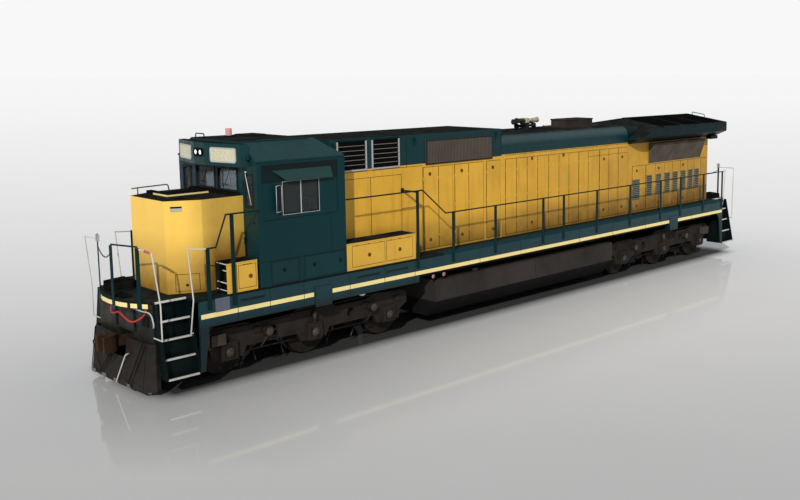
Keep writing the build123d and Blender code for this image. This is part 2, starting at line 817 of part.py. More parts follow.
with BuildPart() as window_fittings:
    for side in (1, -1):
        awning_outline = (
            (wall_face_y * side, awning_z[1]),
            (awning_foot_y * side, awning_z[0]),
            ((awning_foot_y - awning_plate) * side, awning_z[0]),
            (wall_face_y * side, awning_z[1] - awning_plate * 2),
        )
        end_prism(awning_outline, awning_x)
        corner_cut = (
            (awning_x[1], awning_z[1] - awning_plate),
            (awning_x[1] + overrun, awning_z[0] - overrun),
            (awning_foot_front_x - overrun, awning_z[0] - overrun),
        )
        side_prism(corner_cut, mirrored((wall_face_y, awning_foot_y + overrun), side), Mode.SUBTRACT)
        deflector_outline = (
            (deflector_x[0], wall_face_y * side),
            (deflector_x[1], (deflector_tip_y - deflector_plate) * side),
            (deflector_x[1], deflector_tip_y * side),
            (deflector_x[0] - deflector_plate, wall_face_y * side),
        )
        plan_prism(deflector_outline, deflector_z)
        mullion_y = mirrored((half_width - pane_setback + seat_gap, wall_face_y), side)
        mullion_z = (side_window_z[0] + seat_gap, side_window_z[1] - seat_gap)
        block(side_mullion_x, mullion_y, mullion_z)
save(window_fittings, "window_fittings")

# Inside the cab: a raised floor, two seats on pedestals and the control stand
cab_floor_z = (deck_top, 2300)
seat_places = ((6900, 1080), (6900, -1080))
seat_half = 250
seat_cushion_z = (2760, 2880)
seat_back_thickness = 110
seat_back_top_z = 3480
seat_pedestal_radius = 70
stand_x = (7300, 7560)
stand_y = (480, 900)
stand_top_z = 3250
stand_desk_x = 7380
stand_desk_z = 3000

stand_outline = (
    (stand_x[0], cab_floor_z[1]),
    (stand_x[1], cab_floor_z[1]),
    (stand_x[1], stand_top_z),
    (stand_desk_x, stand_top_z),
    (stand_x[0], stand_desk_z),
)

with BuildPart() as cab_floor:
    floor_y = (-cab_inner_half_width, cab_inner_half_width)
    block(cab_inner_x, floor_y, cab_floor_z)
    side_prism(stand_outline, stand_y)
save(cab_floor, "cab_floor")

with BuildPart() as cab_seats:
    for seat_x, seat_y in seat_places:
        bar((seat_x, seat_y, cab_floor_z[1]), (seat_x, seat_y, seat_cushion_z[0]), seat_pedestal_radius)
        cushion_y = (seat_y - seat_half, seat_y + seat_half)
        block((seat_x - seat_half, seat_x + seat_half), cushion_y, seat_cushion_z)
        back_x = (seat_x - seat_half, seat_x - seat_half + seat_back_thickness)
        block(back_x, cushion_y, (seat_cushion_z[0], seat_back_top_z))
save(cab_seats, "cab_seats")

# Hoods behind the cab: a tall square equipment hood, a round-shouldered engine hood, a radiator hood
hood_half_width = 990
hood_sheet = 40
equipment_x = (566, cab_rear_x)
equipment_top_z = 4595
engine_hood_x = (-4880, 566)
engine_hood_top_z = 4440
engine_hood_shoulder = 330
radiator_x = (-9320, -4880)
radiator_side_top_z = 3890
wing_rear_x = -9600
hood_inner_half_width = hood_half_width - hood_sheet

with BuildPart() as equipment_hood:
    block(equipment_x, (-hood_half_width, hood_half_width), (deck_top, equipment_top_z))
    inner_x = (equipment_x[0] + hood_sheet, equipment_x[1] - hood_sheet)
    inner_y = (-hood_inner_half_width, hood_inner_half_width)
    block(inner_x, inner_y, (deck_top - overrun, equipment_top_z - hood_sheet), Mode.SUBTRACT)
save(equipment_hood, "equipment_hood")


def hood_body(inset, foot, x_span, mode=Mode.ADD):
    """Extrude the round-shouldered hood section, drawn in by the inset."""
    half = hood_half_width - inset
    top = engine_hood_top_z - inset
    radius = engine_hood_shoulder - inset
    spring = top - radius
    flat = half - radius
    with BuildSketch(Plane.YZ.offset(x_span[0])) as section:
        with BuildLine():
            Polyline((-half, spring), (-half, foot), (half, foot), (half, spring))
            RadiusArc((half, spring), (flat, top), -radius)
            Line((flat, top), (-flat, top))
            RadiusArc((-flat, top), (-half, spring), -radius)
        make_face()
    extrude(section.sketch, amount=x_span[1] - x_span[0], dir=(1, 0, 0), mode=mode)


with BuildPart() as engine_hood:
    hood_body(0, deck_top, engine_hood_x)
    inner_x = (engine_hood_x[0] - overrun, engine_hood_x[1] - hood_sheet)
    hood_body(hood_sheet, deck_top - overrun, inner_x, Mode.SUBTRACT)
save(engine_hood, "engine_hood")

with BuildPart() as radiator_hood:
    block(radiator_x, (-hood_half_width, hood_half_width), (deck_top, radiator_side_top_z))
    inner_x = (radiator_x[0] + hood_sheet, radiator_x[1] + overrun)
    inner_y = (-hood_inner_half_width, hood_inner_half_width)
    block(inner_x, inner_y, (deck_top - overrun, radiator_side_top_z + overrun), Mode.SUBTRACT)
save(radiator_hood, "radiator_hood")

# Radiator wings: a shallow peaked box wider than the hood, cut back by a slope at its front
wing_ridge_z = 4565
wing_edge_z = (4080, 4335)
wing_floor_z = radiator_side_top_z
wing_floor_half_width = 1060
wing_slope = (
    (-5985, wing_ridge_z),
    (-5000, wing_edge_z[0]),
    (radiator_x[1] + overrun, 3992),
)
wing_half_outline = (
    (wing_floor_half_width, wing_floor_z),
    (half_width, wing_edge_z[0]),
    (half_width, wing_edge_z[1]),
    (0, wing_ridge_z),
)
hood_tail_x = (-5780, radiator_x[1])

with BuildPart() as radiator_wings:
    wing_outline = wing_half_outline + tuple((-y, z) for y, z in reversed(wing_half_outline[:-1]))
    end_prism(wing_outline, (wing_rear_x, radiator_x[1]))
    above_slope = (
        wing_slope[0],
        wing_slope[1],
        wing_slope[2],
        (wing_slope[2][0], wing_ridge_z + overrun),
        (wing_slope[0][0], wing_ridge_z + overrun),
    )
    side_prism(above_slope, (-half_width - overrun, half_width + overrun), Mode.SUBTRACT)
    hood_body(0, wing_floor_z, hood_tail_x)
save(radiator_wings, "radiator_wings")

# Cooling air screens flare out below the wings
side_screen_x = (-8830, -5960)
side_screen_foot_z = 3240
side_screen_flare = 210

with BuildPart() as radiator_screens:
    for side in (1, -1):
        screen_outline = (
            (hood_half_width * side, side_screen_foot_z),
            ((hood_half_width + side_screen_flare) * side, radiator_side_top_z - hood_sheet),
            (hood_half_width * side, radiator_side_top_z - hood_sheet),
        )
        end_prism(screen_outline, side_screen_x)
save(radiator_screens, "radiator_screens")

# Doors along the hoods; each row gives a door's rear and front edges
door_rise = 10
hood_door_z = (1860, 3800)
hood_door_rows = (
    (2790, 3260),
    (2310, 2770),
    (1770, 2230),
    (1250, 1750),
    (630, 1120),
    (20, 420),
    (-400, 0),
    (-820, -420),
    (-1270, -840),
    (-1700, -1290),
    (-2130, -1720),
    (-2560, -2150),
    (-2990, -2590),
    (-3490, -3010),
    (-3950, -3530),
    (-4410, -3970),
    (-4860, -4430),
)
radiator_door_rows = (
    (-5800, -5130),
    (-6330, -5840),
    (-6800, -6350),
    (-7250, -6820),
    (-7700, -7270),
    (-8130, -7720),
    (-8500, -8150),
    (-8890, -8520),
    (-9290, -8910),
)
radiator_door_top_z = 3200
large_door_x = (3300, 5760)
large_door_top_z = 3850

with BuildPart() as hood_doors:
    for side in (1, -1):
        door_y = mirrored((hood_half_width, hood_half_width + door_rise), side)
        for rear_x, front_x in hood_door_rows:
            block((rear_x, front_x), door_y, hood_door_z)
        for rear_x, front_x in radiator_door_rows:
            block((rear_x, front_x), door_y, (hood_door_z[0], radiator_door_top_z))
        block(large_door_x, door_y, (hood_door_z[0], large_door_top_z))
save(hood_doors, "hood_doors")

# Louvred openings in the equipment hood: each row gives the rear and front edges of a frame
louvre_rows = (
    (4000, 4810),
    (4960, 5780),
)
louvre_z = (3880, 4570)
louvre_frame = 30
louvre_rise = 25
louvre_back = 5
louvre_slats = 5
louvre_slat_depth = 14
grille_x = (920, 3190)
grille_z = (3860, 4450)

with BuildPart() as louvres:
    for side in (1, -1):
        frame_y = mirrored((hood_half_width, hood_half_width + louvre_rise), side)
        slat_y = mirrored((hood_half_width + louvre_back, hood_half_width + louvre_rise), side)
        cut_y = mirrored((hood_half_width + louvre_back, hood_half_width + overrun), side)
        for rear_x, front_x in louvre_rows:
            block((rear_x, front_x), frame_y, louvre_z)
            inner_x = (rear_x + louvre_frame, front_x - louvre_frame)
            inner_z = (louvre_z[0] + louvre_frame, louvre_z[1] - louvre_frame)
            block(inner_x, cut_y, inner_z, Mode.SUBTRACT)
            pitch = (inner_z[1] - inner_z[0]) / (louvre_slats + 1)
            for slat in range(1, louvre_slats + 1):
                slat_z = inner_z[0] + slat * pitch
                block(inner_x, slat_y, (slat_z - louvre_slat_depth / 2, slat_z + louvre_slat_depth / 2))
        block(grille_x, frame_y, grille_z)
save(louvres, "louvres")

# The engine and generator, as one plain mass on the deck
engine_x = (-4500, 500)
engine_half_width = 620
engine_top_z = 3500

with BuildPart() as engine_block:
    block(engine_x, (-engine_half_width, engine_half_width), (deck_top, engine_top_z))
save(engine_block, "engine_block")

# Boxes on the walkways, at the height of the cab floor: each row gives the rear and front ends and
# the inner face. The front ones hold a flight of steps
box_rows = (
    (8180, 8850, 1060),
    (3985, cab_rear_x, hood_half_width + door_rise),
)
box_top_z = 2395
box_lid = 22
box_lid_lip = 8
stair_x = (8570, 8850)
stair_side_plate = 30
stair_tread_rows = (
    (8720, 2200),
    (8830, 2000),
)

with BuildPart() as walkway_boxes:
    for rear_x, front_x, inner_y in box_rows:
        for side in (1, -1):
            case_y = mirrored((inner_y, half_width - box_lid_lip), side)
            block((rear_x, front_x), case_y, (deck_top, box_top_z - box_lid))
            lid_y = mirrored((inner_y, half_width), side)
            block((rear_x, front_x), lid_y, (box_top_z - box_lid, box_top_z))
    for side in (1, -1):
        well_outer_y = half_width - box_lid_lip - stair_side_plate
        well_y = mirrored((box_rows[0][2] + stair_side_plate, well_outer_y), side)
        stair_front = stair_x[1] + overrun
        block((stair_x[0], stair_front), well_y, (deck_top - overrun, box_top_z + overrun), Mode.SUBTRACT)
        for tread_x, tread_z in stair_tread_rows:
            block((stair_x[0], tread_x), well_y, (tread_z - tread_plate, tread_z))
save(walkway_boxes, "walkway_boxes")

# Handrails: flat posts stand against the sills, and bars run along their tops.
# Each row gives a post's place and the height of its top
rail_radius = 17
rail_y = half_width + seat_gap + rail_radius
post_half_wide = 40
post_plate = 16
post_foot_z = 1560
rail_z = 2755
high_rail_z = 3360
post_rows = (
    (3930, high_rail_z),
    (2800, rail_z),
    (1350, rail_z),
    (-460, rail_z),
    (-1300, rail_z),
    (-2750, rail_z),
    (-4310, rail_z),
    (-5870, rail_z),
    (-6950, rail_z),
    (-8270, rail_z),
    (-9400, rail_z),
    (8720, high_rail_z),
    (9260, rail_z),
)
rail_rear_x = -9440
rail_bend_x = (3060, 3780)
cab_rail_bend_x = (8850, 9090)
cab_rail_front_x = 9300

# End rails: each row gives the place of a post's foot on the platform's edge and the two
# places between which the edge runs there
end_rail_z = 2840
end_post_foot_z = 1660
end_post_plate = 18
middle_post_share = 0.645
bow_inner, bow_end = platform_bow[3:]
middle_post_place = tuple(
    inner + (outer - inner) * middle_post_share for inner, outer in zip(bow_inner, bow_end)
)
bow_start, corner_place, bow_second = platform_bow[:3]
end_post_rows = (
    (corner_place, bow_second, bow_start),
    (middle_post_place, bow_end, bow_inner),
)
lone_post_row = tuple((x, -y) for x, y in (corner_place, bow_start, bow_second))
lone_post_top_z = 2905

with BuildPart() as handrail_posts:
    for side in (1, -1):
        for post_x, top_z in post_rows:
            post_x_span = (post_x - post_half_wide, post_x + post_half_wide)
            post_y_span = mirrored((half_width + seat_gap, half_width + seat_gap + post_plate), side)
            block(post_x_span, post_y_span, (post_foot_z, top_z - rail_radius - seat_gap))
    for end in (1, -1):
        post_rows_here = [(*row, end_rail_z - rail_radius - seat_gap) for row in end_post_rows]
        post_rows_here.append((*lone_post_row, lone_post_top_z))
        for foot, run_start, run_end, top_z in post_rows_here:
            foot_place = (foot[0] * end, foot[1] * end)
            run = ((run_end[0] - run_start[0]) * end, (run_end[1] - run_start[1]) * end)
            post_z = (end_post_foot_z, top_z)
            flat_post(foot_place, run, post_half_wide, end_post_plate, post_z)
save(handrail_posts, "handrail_posts")

with BuildPart() as handrails:
    for side in (1, -1):
        line_y = rail_y * side
        pipe(
            (
                (rail_rear_x, line_y, rail_z),
                (rail_bend_x[0], line_y, rail_z),
                (rail_bend_x[1], line_y, high_rail_z),
                (cab_rear_x - seat_gap, line_y, high_rail_z),
            ),
            rail_radius,
        )
        pipe(
            (
                (cab_rail_front_x, line_y, rail_z),
                (cab_rail_bend_x[1], line_y, rail_z),
                (cab_rail_bend_x[0], line_y, high_rail_z),
                (cab_front_x + seat_gap, line_y, high_rail_z),
            ),
            rail_radius,
        )
    for end in (1, -1):
        (near_x, near_y), (middle_x, middle_y) = corner_place, middle_post_place
        near_end = (near_x * end, near_y * end, end_rail_z)
        bar(near_end, (middle_x * end, middle_y * end, end_rail_z), rail_radius)
save(handrails, "handrails")

# Grab rails beside the steps, from the step plates up to the ends of the handrails
grab_radius = 14
grab_foot_z = 1130
grab_front_x = platform_start_x + stringer_plate
grab_front_y = 1440
grab_top_z = 2790
grab_lead = 50
corner_run = (Vector(*bow_start) - Vector(*bow_second)).normalized()
corner_outward = Vector(corner_run.Y, -corner_run.X)
grab_beside_post = Vector(*corner_place) + corner_outward * (seat_gap + end_post_plate / 2)
grab_stop = grab_beside_post + corner_run * (post_half_wide + seat_gap)
grab_approach = grab_stop + corner_run * grab_lead
grab_front_line = (
    (grab_front_x, step_inner_y + seat_gap, grab_foot_z),
    (grab_front_x, grab_front_y, grab_foot_z),
    (grab_front_x, grab_front_y, deck_top),
    (10320, 1400, grab_top_z),
    (grab_approach.X, grab_approach.Y, grab_top_z),
    (grab_stop.X, grab_stop.Y, grab_top_z),
)
grab_rear_x = 9575
grab_rear_y = 1480
grab_rear_foot_y = 1330
grab_rear_line = (
    (step_x[0] + seat_gap, grab_rear_foot_y, grab_foot_z),
    (grab_rear_x, grab_rear_foot_y, grab_foot_z),
    (grab_rear_x, grab_rear_y, deck_top),
    (9650, grab_rear_y, grab_top_z),
)

with BuildPart() as grab_rails:
    for end, rail_end_x in ((1, cab_rail_front_x), (-1, -rail_rear_x)):
        grab_end = (rail_end_x + seat_gap, rail_y, rail_z)
        rear_line = (*grab_rear_line, (rail_end_x + grab_lead, rail_y, rail_z), grab_end)
        for side in (1, -1):
            for line in (grab_front_line, rear_line):
                pipe(tuple((x * end, y * side, z) for x, y, z in line), grab_radius)
save(grab_rails, "grab_rails")

# Lamps: a pair in the brow's centre facet and a pair at the rear of the radiator hood
lamp_radius = 76
lamp_spacing = 87
lamp_depth = 25
front_lamp_z = 4455
rear_lamp_z = 3740

with BuildPart() as headlamps:
    for lamp_y in (lamp_spacing, -lamp_spacing):
        for face_x, reach, lamp_z in (
            (brow_outline[-1][0], lamp_depth, front_lamp_z),
            (radiator_x[0], -lamp_depth, rear_lamp_z),
        ):
            rod((face_x, lamp_y, lamp_z), (face_x + reach, lamp_y, lamp_z), lamp_radius)
save(headlamps, "headlamps")

# Blank number boards on the brow's canted facets and on the rear of the hood
board_share = (0.185, 0.87)
board_z = (4285, 4560)
board_plate = 14
rear_board_y = (330, 880)
rear_board_z = (3620, 3860)

with BuildPart() as number_boards:
    for side in (1, -1):
        facet_end = Vector(brow_outline[2][0], brow_outline[2][1])
        facet_start = Vector(brow_outline[1][0], brow_outline[1][1])
        along = facet_start - facet_end
        outward = Vector(along.Y, -along.X).normalized() * board_plate
        corners = (
            facet_end + along * board_share[0],
            facet_end + along * board_share[1],
            facet_end + along * board_share[1] + outward,
            facet_end + along * board_share[0] + outward,
        )
        plan_prism(tuple((corner.X, corner.Y * side) for corner in corners), board_z)
        rear_board_x = (radiator_x[0] - board_plate, radiator_x[0])
        block(rear_board_x, mirrored(rear_board_y, side), rear_board_z)
save(number_boards, "number_boards")

# Roof gear: beacon on the cab, exhaust stack and horns on the engine hood
beacon_place = (7330, -760)
beacon_radius = 68
beacon_sides = 24
beacon_height = 170
stack_x = (-4060, -2900)
stack_half_width = 300
stack_height = 190
stack_base_x = (-4200, -2650)
stack_base_half_width = 420
stack_base_height = 35
stack_base_top_z = engine_hood_top_z + stack_base_height
stack_top_z = stack_base_top_z + stack_height
stack_mouth_inset = 60
horn_place_x = -1430
horn_bracket_half = 60
horn_bracket_half_width = 120
horn_sides = 10
horn_bracket_height = 160
horn_bracket_top_z = engine_hood_top_z + horn_bracket_height
horn_mouth_radius = 75
horn_throat_radius = 22
horn_rows = (
    (430, 70, 4700),
    (-430, 70, 4700),
    (380, -90, 4660),
    (-380, -90, 4660),
)

with BuildPart() as beacon:
    beacon_top_z = cab_top_z + beacon_height
    bar((*beacon_place, cab_top_z), (*beacon_place, beacon_top_z), beacon_radius, beacon_sides)
save(beacon, "beacon")

with BuildPart() as exhaust_stack:
    base_width = (-stack_base_half_width, stack_base_half_width)
    block(stack_base_x, base_width, (engine_hood_top_z, stack_base_top_z))
    block(stack_x, (-stack_half_width, stack_half_width), (stack_base_top_z, stack_top_z))
    mouth_x = (stack_x[0] + stack_mouth_inset, stack_x[1] - stack_mouth_inset)
    mouth_y = (-stack_half_width + stack_mouth_inset, stack_half_width - stack_mouth_inset)
    block(mouth_x, mouth_y, (stack_base_top_z, stack_top_z + overrun), Mode.SUBTRACT)
save(exhaust_stack, "exhaust_stack")

with BuildPart() as horn:
    bracket_x = (horn_place_x - horn_bracket_half, horn_place_x + horn_bracket_half)
    bracket_y = (-horn_bracket_half_width, horn_bracket_half_width)
    block(bracket_x, bracket_y, (engine_hood_top_z, horn_bracket_top_z))
    for reach, bell_y, bell_z in horn_rows:
        throat = (horn_place_x, bell_y, bell_z)
        with BuildSketch(Plane(origin=throat, z_dir=(reach, 0, 0))):
            RegularPolygon(horn_throat_radius, horn_sides)
        with BuildSketch(Plane(origin=(horn_place_x + reach, bell_y, bell_z), z_dir=(reach, 0, 0))):
            RegularPolygon(horn_mouth_radius, horn_sides)
        loft()
        bar((horn_place_x, bell_y, horn_bracket_top_z), throat, horn_throat_radius)
save(horn, "horn")
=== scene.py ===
import bpy
import bmesh
import math
import random
from mathutils import Matrix, Vector


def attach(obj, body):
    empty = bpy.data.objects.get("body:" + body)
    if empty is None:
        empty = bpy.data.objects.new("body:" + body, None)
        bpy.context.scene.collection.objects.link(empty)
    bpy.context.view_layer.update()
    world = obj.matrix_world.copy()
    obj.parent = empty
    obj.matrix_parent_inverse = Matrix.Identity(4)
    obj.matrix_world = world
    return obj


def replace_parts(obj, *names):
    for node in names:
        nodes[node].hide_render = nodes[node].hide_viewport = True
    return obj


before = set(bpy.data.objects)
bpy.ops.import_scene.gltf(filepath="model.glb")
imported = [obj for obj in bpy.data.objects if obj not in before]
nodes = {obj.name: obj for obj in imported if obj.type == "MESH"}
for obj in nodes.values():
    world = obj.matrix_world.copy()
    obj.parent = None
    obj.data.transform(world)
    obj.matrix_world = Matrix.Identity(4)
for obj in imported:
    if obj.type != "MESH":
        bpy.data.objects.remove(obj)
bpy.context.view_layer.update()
random.seed(7)
SIDES = (1, -1)

# Camera at the photograph's viewing angle
scene = bpy.context.scene
cam_data = bpy.data.cameras.new("view_camera")
camera = bpy.data.objects.new("view_camera", cam_data)
scene.collection.objects.link(camera)
yaw, pitch, roll = math.radians(-136.178), math.radians(-8.018), -0.004545
forward = Vector((math.cos(yaw) * math.cos(pitch), math.sin(yaw) * math.cos(pitch), math.sin(pitch)))
flat_right = forward.cross(Vector((0, 0, 1))).normalized()
flat_up = flat_right.cross(forward)
right = flat_right * math.cos(roll) + flat_up * math.sin(roll)
up = flat_up * math.cos(roll) - flat_right * math.sin(roll)
camera.matrix_world = Matrix((
    (right.x, up.x, -forward.x, 18.5828),
    (right.y, up.y, -forward.y, 17.9046),
    (right.z, up.z, -forward.z, 6.0832),
    (0, 0, 0, 1),
))
cam_data.sensor_width = 36
cam_data.lens = 971.07 / 800 * 36
cam_data.shift_x = -91.1 / 800
cam_data.shift_y = -43.66 / 800
cam_data.clip_end = 3000
scene.camera = camera
scene.view_settings.view_transform = "Standard"


# Materials
def srgb(r, g, b):
    """A linear colour from 0-255 screen values."""
    out = []
    for c in (r, g, b):
        c = c / 255
        out.append(c / 12.92 if c <= 0.04045 else ((c + 0.055) / 1.055) ** 2.4)
    return (*out, 1)


class Nodes:
    """A short hand for building a material's node tree."""

    def __init__(self, name):
        self.mat = bpy.data.materials.new(name)
        self.mat.use_nodes = True
        self.tree = self.mat.node_tree
        self.shader = self.tree.nodes["Principled BSDF"]
        self.coord = self.tree.nodes.new("ShaderNodeTexCoord").outputs["Object"]

    def add(self, kind, **values):
        node = self.tree.nodes.new(kind)
        for key, value in values.items():
            setattr(node, key, value)
        return node

    def link(self, a, b):
        self.tree.links.new(a, b)

    def noise(self, scale, detail=4, rough=0.55, stretch=None):
        node = self.add("ShaderNodeTexNoise")
        node.inputs["Scale"].default_value = scale
        node.inputs["Detail"].default_value = detail
        node.inputs["Roughness"].default_value = rough
        source = self.coord
        if stretch:
            mapping = self.add("ShaderNodeMapping")
            mapping.inputs["Scale"].default_value = stretch
            self.link(source, mapping.inputs["Vector"])
            source = mapping.outputs["Vector"]
        self.link(source, node.inputs["Vector"])
        return node.outputs["Fac"]

    def span(self, value, low, high, out_low=0, out_high=1):
        node = self.add("ShaderNodeMapRange")
        self.link(value, node.inputs["Value"])
        for key, v in (("From Min", low), ("From Max", high), ("To Min", out_low), ("To Max", out_high)):
            node.inputs[key].default_value = v
        return node.outputs["Result"]

    def math(self, op, a, b=0.0):
        node = self.add("ShaderNodeMath", operation=op)
        for socket, value in zip(node.inputs, (a, b)):
            if hasattr(value, "node"):
                self.link(value, socket)
            else:
                socket.default_value = value
        return node.outputs[0]

    def axis(self, name):
        if not hasattr(self, "split"):
            self.split = self.add("ShaderNodeSeparateXYZ")
            self.link(self.coord, self.split.inputs[0])
        return self.split.outputs[name]

    def facing(self):
        """The upward share of the surface's direction."""
        if not hasattr(self, "normal_split"):
            self.normal_split = self.add("ShaderNodeSeparateXYZ")
            self.link(self.coord.node.outputs["Normal"], self.normal_split.inputs[0])
        return self.normal_split.outputs["Z"]

    def mix(self, fac, a, b):
        node = self.add("ShaderNodeMix", data_type="RGBA")
        for socket, value in ((node.inputs[0], fac), (node.inputs[6], a), (node.inputs[7], b)):
            if hasattr(value, "node"):
                self.link(value, socket)
            else:
                socket.default_value = value
        return node.outputs[2]

    def bump(self, height, strength, distance=0.002):
        node = self.add("ShaderNodeBump")
        node.inputs["Strength"].default_value = strength
        node.inputs["Distance"].default_value = distance
        self.link(height, node.inputs["Height"])
        return node.outputs["Normal"]

    def step(self, value, edge):
        """1 above the edge and 0 below it."""
        return self.math("GREATER_THAN", value, edge)

    def below(self, value, edge):
        return self.math("LESS_THAN", value, edge)

    def both(self, a, b):
        return self.math("MULTIPLY", a, b)

    def between(self, value, low, high):
        return self.both(self.step(value, low), self.below(value, high))


def weather(n, colour, grime=0.35, streak=0.3, dust_top=1.9, dust=0.35, dirt=None, dust_reach=1.2,
            dirt_low=None):
    """Colour variation, rain streaks and road dust over a painted colour."""
    dark = dirt or srgb(58, 48, 34)
    blotch = n.span(n.noise(0.9, 6, 0.6), 0.42, 0.78, 0, grime)
    colour = n.mix(blotch, colour, dark)
    runs = n.span(n.noise(1, 5, 0.6, (7, 7, 0.55)), 0.52, 0.8, 0, streak)
    colour = n.mix(runs, colour, dark)
    fine = n.span(n.noise(55, 3), 0.35, 0.8, 0, grime * 0.35)
    colour = n.mix(fine, colour, dark)
    if not dust:
        return colour
    low = n.span(n.axis("Z"), dust_top, dust_top - dust_reach, 0, dust)
    low = n.both(low, n.span(n.noise(3, 5), 0.2, 0.6, 0.3, 1))
    return n.mix(low, colour, dirt_low or srgb(74, 60, 36))


def finish(n, colour, rough=0.45, metal=0.0, spread=0.12, bump=0.12, bump_scale=40, coat=0.0, spec=0.25):
    if hasattr(colour, "node"):
        n.link(colour, n.shader.inputs["Base Color"])
    else:
        n.shader.inputs["Base Color"].default_value = colour
    n.link(n.span(n.noise(5, 5), 0.3, 0.7, rough - spread, rough + spread), n.shader.inputs["Roughness"])
    n.shader.inputs["Metallic"].default_value = metal
    n.shader.inputs["Specular IOR Level"].default_value = spec
    n.shader.inputs["Coat Weight"].default_value = coat
    n.shader.inputs["Coat Roughness"].default_value = 0.18
    n.link(n.bump(n.noise(bump_scale, 4), bump), n.shader.inputs["Normal"])
    return n.mat


GREEN = srgb(5, 47, 51)
GREEN_DIRT = srgb(5, 24, 26)
YELLOW = srgb(219, 168, 55)
YELLOW_DIRT_AND_SHADE = srgb(122, 88, 30)
PALE = srgb(236, 216, 146)
PALE_DIRT = srgb(170, 148, 92)
GREEN_STYLE = dict(grime=0.25, streak=0.2, dirt=GREEN_DIRT, dust=0.25, dirt_low=srgb(24, 34, 32))
PALE_STYLE = dict(grime=0.15, streak=0.2, dirt=PALE_DIRT, dust=0)


def paint(name, colour, coat=0.0, rough=0.42, spec=0.22, **kw):
    n = Nodes(name)
    return finish(n, weather(n, colour, **kw), rough=rough, coat=coat, spec=spec)


def soot(n, light=(46, 48, 46), dark=(17, 20, 19)):
    return n.mix(n.span(n.noise(2.2, 6, 0.65), 0.3, 0.72), srgb(*dark), srgb(*light))


green_paint = paint("green_paint", GREEN, **GREEN_STYLE)
post_paint = paint("post_paint", srgb(6, 39, 39), grime=0.3, streak=0.2, dirt=GREEN_DIRT, dust=0, spec=0.1)
step_paint = paint("step_paint", srgb(3, 17, 19), grime=0.3, dirt=srgb(4, 6, 6), dust=0.04, spec=0.08)
plain_yellow = paint("plain_yellow", YELLOW, grime=0.3, streak=0.3, dirt=YELLOW_DIRT_AND_SHADE, dust_top=2.6, dust=0.5)
white_paint = paint("white_paint", srgb(206, 206, 200), grime=0.35, streak=0.2, dust=0.3)
grey_frame = paint("grey_frame", srgb(176, 178, 180), grime=0.25, streak=0.2)
pale_paint = paint("pale_paint", PALE, **PALE_STYLE)
seam_brown = paint("seam_brown", srgb(52, 40, 16), grime=0.4, dirt=srgb(20, 16, 10))
seam_dark = paint("seam_dark", srgb(6, 16, 18), grime=0.3, dirt=srgb(4, 6, 6))
latch_brown = paint("latch_brown", srgb(104, 66, 24), grime=0.5, dirt=srgb(50, 34, 18), rough=0.55)
rubber = paint("rubber", srgb(20, 20, 21), grime=0.3, dirt=srgb(44, 42, 40), rough=0.62, coat=0)
plate_blank = paint("plate_blank", srgb(92, 98, 116), grime=0.35, dirt=srgb(60, 52, 50))


def top_darkened(name, low_colour, edge=None, high_colour=GREEN, low_style=None, dark_from=(0.9, 0.97),
                 coat=0.0, wear_and_shade=None, gloss=0.0, sheen=0.22, black_above=None, stair_well_shade=False):
    """Paint in one or two tones, with every level top dark with soot; can add painted shade in the boxes' stair wells
    and a mask of dirt and painted shade.
    """
    n = Nodes(name)
    style = low_style or GREEN_STYLE
    base = weather(n, low_colour, **style)
    # this mask darkens towards the dirt colour: dirt on the hoods, painted shade on the nose's sides
    if wear_and_shade:
        base = n.mix(wear_and_shade(n), base, YELLOW_DIRT_AND_SHADE)
    if edge:
        base = n.mix(n.step(n.axis("Z"), edge), base, weather(n, high_colour, **GREEN_STYLE))
    flat = n.span(n.facing(), *dark_from)
    # painted shade: the inside of the walkway boxes' stair wells is darkened with the soot colour
    if stair_well_shade:
        inside = n.both(n.below(n.math("ABSOLUTE", n.axis("Y")), 1.4725), n.step(n.axis("X"), 8.565))
        flat = n.math("MAXIMUM", flat, inside)
    if black_above:
        flat = n.math("MAXIMUM", flat, n.step(n.axis("Z"), black_above))
    mat = finish(n, n.mix(flat, base, soot(n)), rough=0.42, coat=coat)
    n.link(n.span(flat, 0, 0.8, sheen, 0.0), n.shader.inputs["Specular IOR Level"])
    if gloss:
        band = n.both(n.span(n.facing(), 0.12, 0.45), n.span(n.facing(), 0.92, 0.7))
        n.link(n.both(band, gloss), n.shader.inputs["Coat Weight"])
        n.shader.inputs["Coat IOR"].default_value = 1.9
        n.shader.inputs["Coat Roughness"].default_value = 0.42
    return mat


def rear_wear(n):
    """More dirt towards the rear, and darker towards the foot of the hood."""
    back = n.span(n.axis("X"), 2.5, -9.0, 0, 0.55)
    foot = n.span(n.axis("Z"), 2.6, 1.85, 0, 0.75)
    return n.both(n.math("ADD", back, foot), n.span(n.noise(2.4, 6, 0.6), 0.25, 0.6, 0.5, 1))


def nose_shade_and_dark_foot(n):
    """Painted shade darkening the nose's sides towards the cab, and darker towards its foot."""
    # painted shade: the nose's sides darken towards the cab as shadow
    back = n.both(n.span(n.axis("X"), 9.35, 8.8, 0, 0.6), n.step(n.math("ABSOLUTE", n.axis("Y")), 0.6))
    foot = n.span(n.axis("Z"), 3.0, 1.8, 0, 1.0)
    return n.both(n.math("ADD", back, foot), n.span(n.noise(1.3, 5, 0.55), 0.25, 0.65, 0.6, 1))


